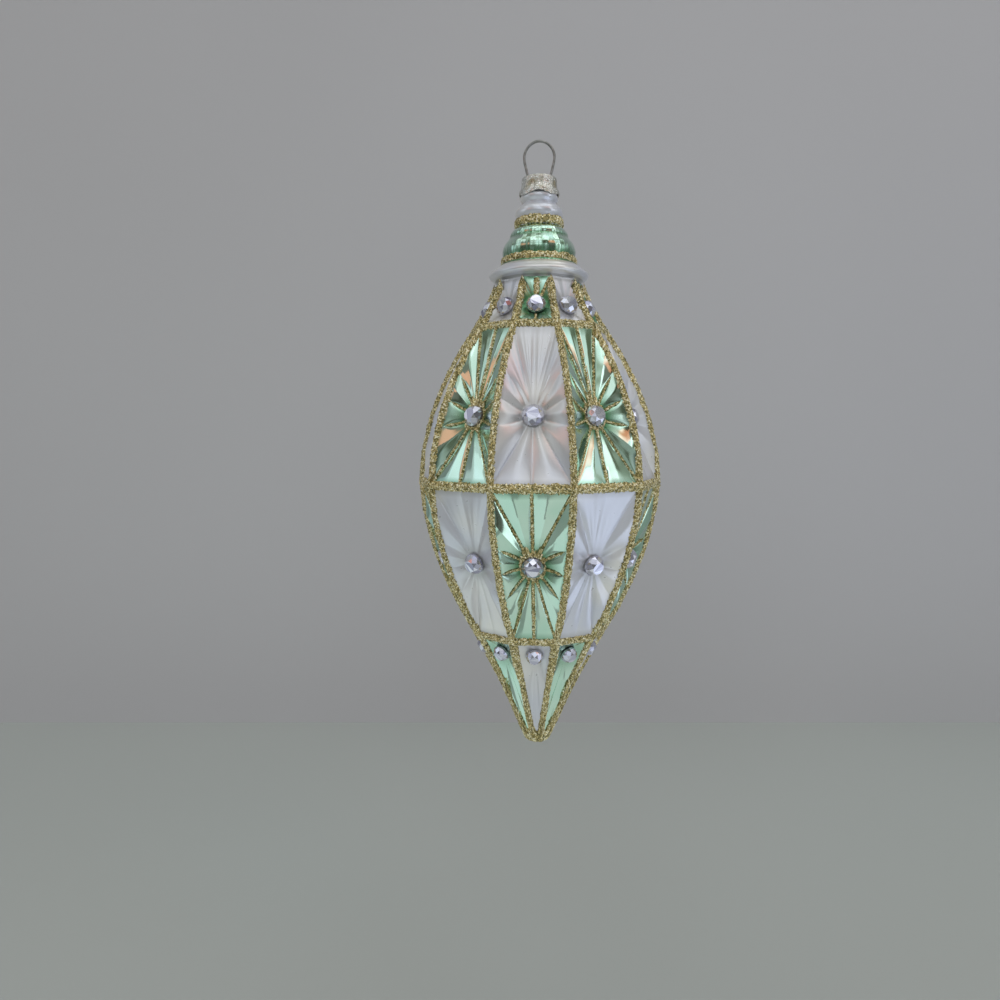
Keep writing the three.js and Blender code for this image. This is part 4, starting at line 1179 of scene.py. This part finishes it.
class ORNAMENT_OT_stamp_cap(bpy.types.Operator):
    """Stamp the cap: flat top, fluted side and scalloped skirt, with two holes for the wire"""

    bl_idname = "ornament.stamp_cap"
    bl_label = "Stamp Cap"

    segments = 128
    # Where the skirt's side is folded, in degrees from the front, and how deep
    folds_at = (-14, -65, 62, 140)
    fold_depth, fold_angle = 0.16 * MM, 0.06
    flute_depth = 0.06 * MM
    # The skirt's arches start this share of the way down
    arch_height, arch_start = 0.65 * MM, 0.6

    def execute(self, context):
        hanger = context.scene.ornament_hanger
        low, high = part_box("cap")
        top, edge = high.z, low.z
        skirt, side = high.x - 0.08 * MM, high.x - 0.62 * MM
        outline = [
            (0.0, top),
            (side - 0.9 * MM, top),
            (side - 0.35 * MM, top - 0.05 * MM),
            (side - 0.05 * MM, top - 0.35 * MM),
            (side, top - 0.9 * MM),
            (side + 0.02 * MM, top - 1.7 * MM),
            (side + 0.12 * MM, top - 2.5 * MM),
            (skirt - 0.15 * MM, edge + 1.5 * MM),
            (skirt - 0.02 * MM, edge + 1.0 * MM),
            (skirt, edge),
        ]
        line = curve_through(outline, steps=4)
        piece = new_object("stamped_cap", [(r, 0, z) for r, z in line], faces=[])
        piece.data.edges.add(len(line) - 1)
        for i, made in enumerate(piece.data.edges):
            made.vertices = (i, i + 1)
        clean_up(piece, 0.002 * MM, self.spin)
        self.shape(piece, top, edge)
        apply_modifier(piece, "SOLIDIFY", thickness=hanger.cap_wall, offset=-1)
        self.crinkle(piece, hanger.crinkle)
        self.pierce(piece, top, hanger)
        piece.data.materials.clear()
        piece.data.materials.append(new_material("stamped_aluminium_sheet", stamped_aluminium))
        shade_smooth(piece, degrees=35)
        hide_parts("cap")
        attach(piece, "cap")
        return {"FINISHED"}

    def spin(self):
        bpy.ops.mesh.spin(steps=self.segments, angle=2 * math.pi, center=(0, 0, 0), axis=(0, 0, 1))
        bpy.ops.mesh.select_all(action="SELECT")

    def shape(self, piece, top, edge):
        """Flutes and folds in the side, and four arches cut up into the skirt's edge."""
        for vertex in piece.data.vertices:
            radius = math.hypot(vertex.co.x, vertex.co.y)
            if radius < 1e-6:
                continue
            angle = math.atan2(vertex.co.y, vertex.co.x) - FRONT
            drop = np.clip((top - vertex.co.z) / (top - edge), 0, 1)
            flute = self.flute_depth * math.cos(8 * angle) * drop
            folds = 0.0
            for at in self.folds_at:
                away = (angle - math.radians(at) + math.pi) % (2 * math.pi) - math.pi
                folds -= self.fold_depth * math.exp(-((away / self.fold_angle) ** 2))
            scale = (radius + flute + folds * min(1.0, drop * 4)) / radius
            vertex.co.x *= scale
            vertex.co.y *= scale
            arch = self.arch_height * (1 + math.cos(4 * angle)) / 2
            vertex.co.z += arch * max(0.0, (drop - self.arch_start) / (1 - self.arch_start)) ** 1.5

    @staticmethod
    def crinkle(piece, depth):
        texture = bpy.data.textures.new("crinkle", "CLOUDS")
        texture.noise_scale = 0.55 * MM
        texture.noise_depth = 2
        apply_modifier(
            piece, "DISPLACE", texture=texture, texture_coords="LOCAL", strength=depth, mid_level=0.5,
        )

    @staticmethod
    def pierce(piece, top, hanger):
        """Cuts the two holes that the wire goes down through."""
        for x in (-WIRE_FOOT, WIRE_FOOT):
            deselect()
            bpy.ops.mesh.primitive_cylinder_add(
                vertices=24, radius=2 * hanger.wire_radius, depth=4 * hanger.cap_wall + 1 * MM,
                location=(x, 0, top),
            )
            drill = bpy.context.object
            apply_modifier(piece, "BOOLEAN", operation="DIFFERENCE", object=drill, solver="EXACT")
            bpy.data.objects.remove(drill)


class ORNAMENT_OT_bend_wire(bpy.types.Operator):
    """Bend the spring wire: two legs in the neck and a ring over the cap"""

    bl_idname = "ornament.bend_wire"
    bl_label = "Bend Wire"

    leg = 2.15 * MM
    crown_height = 3.85 * MM

    def execute(self, context):
        hanger = context.scene.ornament_hanger
        low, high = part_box("spring_hanger")
        cap_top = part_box("cap")[1].z
        half_width = high.x - hanger.wire_radius
        crown = high.z - hanger.wire_radius
        widest = crown - self.crown_height
        right = [
            (self.leg, low.z + 0.05 * MM),
            (self.leg, cap_top - 8.0 * MM),
            (self.leg + 0.05 * MM, cap_top - 3.0 * MM),
            (WIRE_FOOT, cap_top),
            (WIRE_FOOT + 0.42 * MM, cap_top + 1.6 * MM),
        ]
        for turn in (0, math.pi / 6, math.pi / 3):
            lift = self.crown_height * math.sin(turn)
            right.append((half_width * math.cos(turn), widest + lift))
        path = right + [(0.0, crown)] + [(-x, z) for x, z in reversed(right)]
        line = curve_through(path, steps=8)
        deselect()
        bpy.ops.curve.primitive_bezier_curve_add(location=(0, 0, 0))
        wire = bpy.context.object.data
        wire.splines.clear()
        spline = wire.splines.new("POLY")
        spline.points.add(len(line) - 1)
        for point, (x, z) in zip(spline.points, line):
            point.co = (x, 0, z, 1)
        wire.dimensions = "3D"
        wire.bevel_depth = hanger.wire_radius
        wire.bevel_resolution = 4
        wire.use_fill_caps = True
        bpy.ops.object.convert(target="MESH")
        piece = rename(bpy.context.object, "sprung_wire")
        clean_up(piece, 0.002 * MM)
        piece.data.materials.clear()
        piece.data.materials.append(new_material("drawn_spring_steel", drawn_steel))
        shade_smooth(piece, degrees=40)
        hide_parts("spring_hanger")
        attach(piece, "hanger")
        return {"FINISHED"}


class ORNAMENT_OT_light_stage(bpy.types.Operator):
    """Set the table and wall, the soft lamps and the camera"""

    bl_idname = "ornament.light_stage"
    bl_label = "Light Stage"

    wall_y = 240 * MM
    line_below_view = math.radians(16.5)
    pitch = math.radians(4.6)
    axis_right_of_view = math.radians(2.9)

    # Soft boxes: place, width and height, brightness and colour
    lamps = (
        ("window", (-0.76, -0.24, 0.15), (0.3, 0.5), 0.3, "#ecf6ff"),
        ("side", (0.74, -0.3, 0.13), (0.26, 0.6), 0.85, "#f4f8ff"),
        ("overhead", (0.05, -0.25, 0.75), (0.6, 0.5), 0.45, "#ffffff"),
        ("left_bulb", (-0.5, -0.49, 0.3), (0.26, 0.22), 0.9, "#fa9c7c"),
        ("right_bulb", (0.47, -0.4, 0.5), (0.3, 0.22), 0.95, "#fa9c7c"),
        ("strip", (0.0, -0.75, 0.26), (0.62, 0.06), 1.1, "#f4f6ff"),
        ("back", (0.25, 0.17, 0.55), (0.5, 0.1), 1.2, "#ffffff"),
    )
    # Cards that lie on the table and shine up at the lower rows
    cards = (
        ("left_card", (-0.15, -0.13, -0.213), (0.2, 0.4), 0.45, "#eaffff"),
        ("front_card", (0.045, -0.12, -0.213), (0.13, 0.36), 0.32, "#f4fffa"),
        ("right_card", (0.24, -0.12, -0.213), (0.2, 0.36), 1.0, "#d8e6ff"),
    )

    def execute(self, context):
        stage = context.scene.ornament_stage
        camera = self.add_camera(context, stage)
        drop = (stage.distance + self.wall_y) * math.tan(self.line_below_view + self.pitch)
        self.add_sheet(stage, camera.location.z - drop)
        for card in self.cards:
            self.add_lamp(context, *card, aim=Vector(card[1]) + Vector((0, 0, 1)))
        for lamp in self.lamps:
            self.add_lamp(context, *lamp, aim=Vector((0, 0, -70 * MM)))
        context.scene.world = bpy.data.worlds.new("studio")
        context.scene.world.use_nodes = True
        self.add_room(context.scene.world.node_tree, stage)
        context.scene.view_settings.view_transform = "Standard"
        return {"FINISHED"}

    def add_camera(self, context, stage):
        data = bpy.data.cameras.new("camera")
        data.sensor_width = 36
        data.lens = 27.04
        data.clip_start = 0.005
        data.clip_end = 20
        camera = bpy.data.objects.new("camera", data)
        context.scene.collection.objects.link(camera)
        bearing = FRONT + stage.side
        camera.location = (
            stage.distance * math.cos(bearing),
            stage.distance * math.sin(bearing),
            TIP_END_Z + stage.height,
        )
        heading = bearing + math.pi + self.axis_right_of_view
        look = Vector((math.cos(heading), math.sin(heading), -math.tan(self.pitch)))
        camera.rotation_euler = look.to_track_quat("-Z", "Y").to_euler()
        context.scene.camera = camera
        return camera

    def add_sheet(self, stage, floor_z):
        """Table and wall: one sheet, bent up sharply at the back."""
        half_width, front, wall_height = 1.6, 0.8, 0.9
        lines = [(-front, floor_z), (self.wall_y, floor_z), (self.wall_y, floor_z + wall_height)]
        points = [(x, y, z) for y, z in lines for x in (-half_width, half_width)]
        table, wall = (0, 1, 3, 2), (2, 3, 5, 4)
        sheet = new_object("table_and_wall", points, [table, wall])
        sheet.data.transform(Matrix.Rotation(stage.side + self.axis_right_of_view, 4, "Z"))
        sheet.data.materials.append(new_material("painted_table", matt_paint, stage.floor))
        sheet.data.materials.append(new_material("painted_wall", matt_paint, stage.backdrop))
        sheet.data.polygons[1].material_index = 1

    @staticmethod
    def add_lamp(context, name, place, size, brightness, hex_colour, aim):
        """A rectangle that glows evenly: its brightness is what its mirror image shows."""
        wide, tall = size
        data = bpy.data.lights.new(name, "AREA")
        data.shape = "RECTANGLE"
        data.size = wide
        data.size_y = tall
        data.energy = brightness * math.pi * wide * tall
        data.color = linear(hex_colour)
        lamp = bpy.data.objects.new(name, data)
        lamp.location = place
        lamp.rotation_euler = (aim - Vector(place)).to_track_quat("-Z", "Y").to_euler()
        lamp.visible_camera = False
        context.scene.collection.objects.link(lamp)

    @staticmethod
    def add_room(tree, stage):
        """A room that the glass mirrors, while the camera sees the backdrop's even grey."""
        tree.nodes.clear()
        direction = add_node(tree, "TexCoord", "Generated")
        east = add_node(tree, "SeparateXYZ", Vector=direction)
        north, up = east.node.outputs["Y"], east.node.outputs["Z"]
        level = add_node(tree, "MapRange", Value=up, From_Min=-1.0, From_Max=1.0)
        sky = add_node(tree, "ValToRGB", Fac=level, stops=[
            (0.0, linear("#a0a2a2")), (0.45, linear("#b4b5b8")), (0.53, linear("#d9dce0")),
            (0.8, linear("#eef0f2")), (1.0, linear("#f6f8fa")),
        ])
        bearing = add_node(tree, "Math", operation="ARCTAN2", Value=east, Value_001=north)
        turn = add_node(tree, "MapRange", Value=bearing, From_Min=-math.pi, From_Max=math.pi)
        # From the front at 0, leftwards to the back at a half, and on by the right to the front
        lit, plain, doorway = (1.0, 1.0, 1.0), (0.8, 0.8, 0.8), (0.22, 0.2, 0.17)
        walls = add_node(tree, "ValToRGB", Fac=turn, stops=[
            (0.0, lit), (0.05, lit), (0.08, (0.3, 0.33, 0.3)), (0.1, doorway), (0.155, doorway),
            (0.18, (0.8, 0.83, 0.85)), (0.25, (0.66, 0.68, 0.7)), (0.29, (0.4, 0.4, 0.38)),
            (0.34, plain), (0.66, plain), (0.72, (0.62, 0.63, 0.6)), (0.77, (0.92, 0.92, 0.92)),
            (0.82, (0.97, 0.98, 1.0)), (0.845, doorway), (0.9, doorway), (0.93, (0.4, 0.42, 0.4)),
            (0.965, lit),
        ])
        # The walls end at some fifty degrees: above them the ceiling is the same all round
        above = add_node(tree, "MapRange", Value=up, From_Min=0.66, From_Max=0.78)
        sides = add_node(tree, **COLOUR_MIX, Factor_Float=above, A_Color=walls, B_Color=(0.95, 0.97, 0.96))
        # Furniture and openings: patches some twenty degrees across that the facets pick up
        patches = add_node(tree, "TexNoise", Vector=direction, Scale=2.6, Detail=1.0)
        furnished = add_node(tree, "ValToRGB", Fac=patches, stops=[
            (0.38, (0.2, 0.2, 0.14)), (0.44, (0.66, 0.68, 0.6)), (0.5, lit),
            (0.6, (1.05, 1.08, 1.08)), (0.66, (1.1, 1.2, 1.26)),
        ])
        room = sky
        for layer in (sides, furnished):
            room = add_node(tree, **MULTIPLY, Factor_Float=1.0, A_Color=room, B_Color=layer)
        mirrored = add_node(tree, "Background", Color=room, Strength=1.12)
        seen = add_node(tree, "Background", Color=stage.backdrop, Strength=0.85)
        to_camera = add_node(tree, "LightPath", "Is_Camera_Ray")
        shown = add_node(tree, "MixShader", Fac=to_camera, Shader=mirrored, Shader_001=seen)
        add_node(tree, "OutputWorld", Surface=shown)


class ORNAMENT_PT_pieces(bpy.types.Panel):
    bl_label = "Ornament"
    bl_idname = "ORNAMENT_PT_pieces"
    bl_space_type = "VIEW_3D"
    bl_region_type = "UI"
    bl_category = "Ornament"

    def draw(self, context):
        for operator in OPERATORS:
            self.layout.operator(operator.bl_idname)


SETTINGS = {
    "ornament_glass": GlassSettings,
    "ornament_glitter": GlitterSettings,
    "ornament_stone": StoneSettings,
    "ornament_hanger": HangerSettings,
    "ornament_stage": StageSettings,
}

OPERATORS = [
    ORNAMENT_OT_press_glass,
    ORNAMENT_OT_lay_ribs,
    ORNAMENT_OT_lay_stars,
    ORNAMENT_OT_lay_rings,
    ORNAMENT_OT_set_stones,
    ORNAMENT_OT_stamp_cap,
    ORNAMENT_OT_bend_wire,
    ORNAMENT_OT_light_stage,
]


def register():
    for group in (*SETTINGS.values(), *OPERATORS, ORNAMENT_PT_pieces):
        bpy.utils.register_class(group)
    for name, group in SETTINGS.items():
        setattr(bpy.types.Scene, name, bpy.props.PointerProperty(type=group))


def unregister():
    for name in SETTINGS:
        delattr(bpy.types.Scene, name)
    for group in (ORNAMENT_PT_pieces, *reversed(OPERATORS), *SETTINGS.values()):
        bpy.utils.unregister_class(group)


def main():
    register()
    bpy.ops.ornament.press_glass()
    bpy.ops.ornament.lay_ribs()
    bpy.ops.ornament.lay_stars()
    bpy.ops.ornament.lay_rings()
    bpy.ops.ornament.set_stones()
    bpy.ops.ornament.stamp_cap()
    bpy.ops.ornament.bend_wire()
    bpy.ops.ornament.light_stage()


if __name__ == "__main__":
    main()
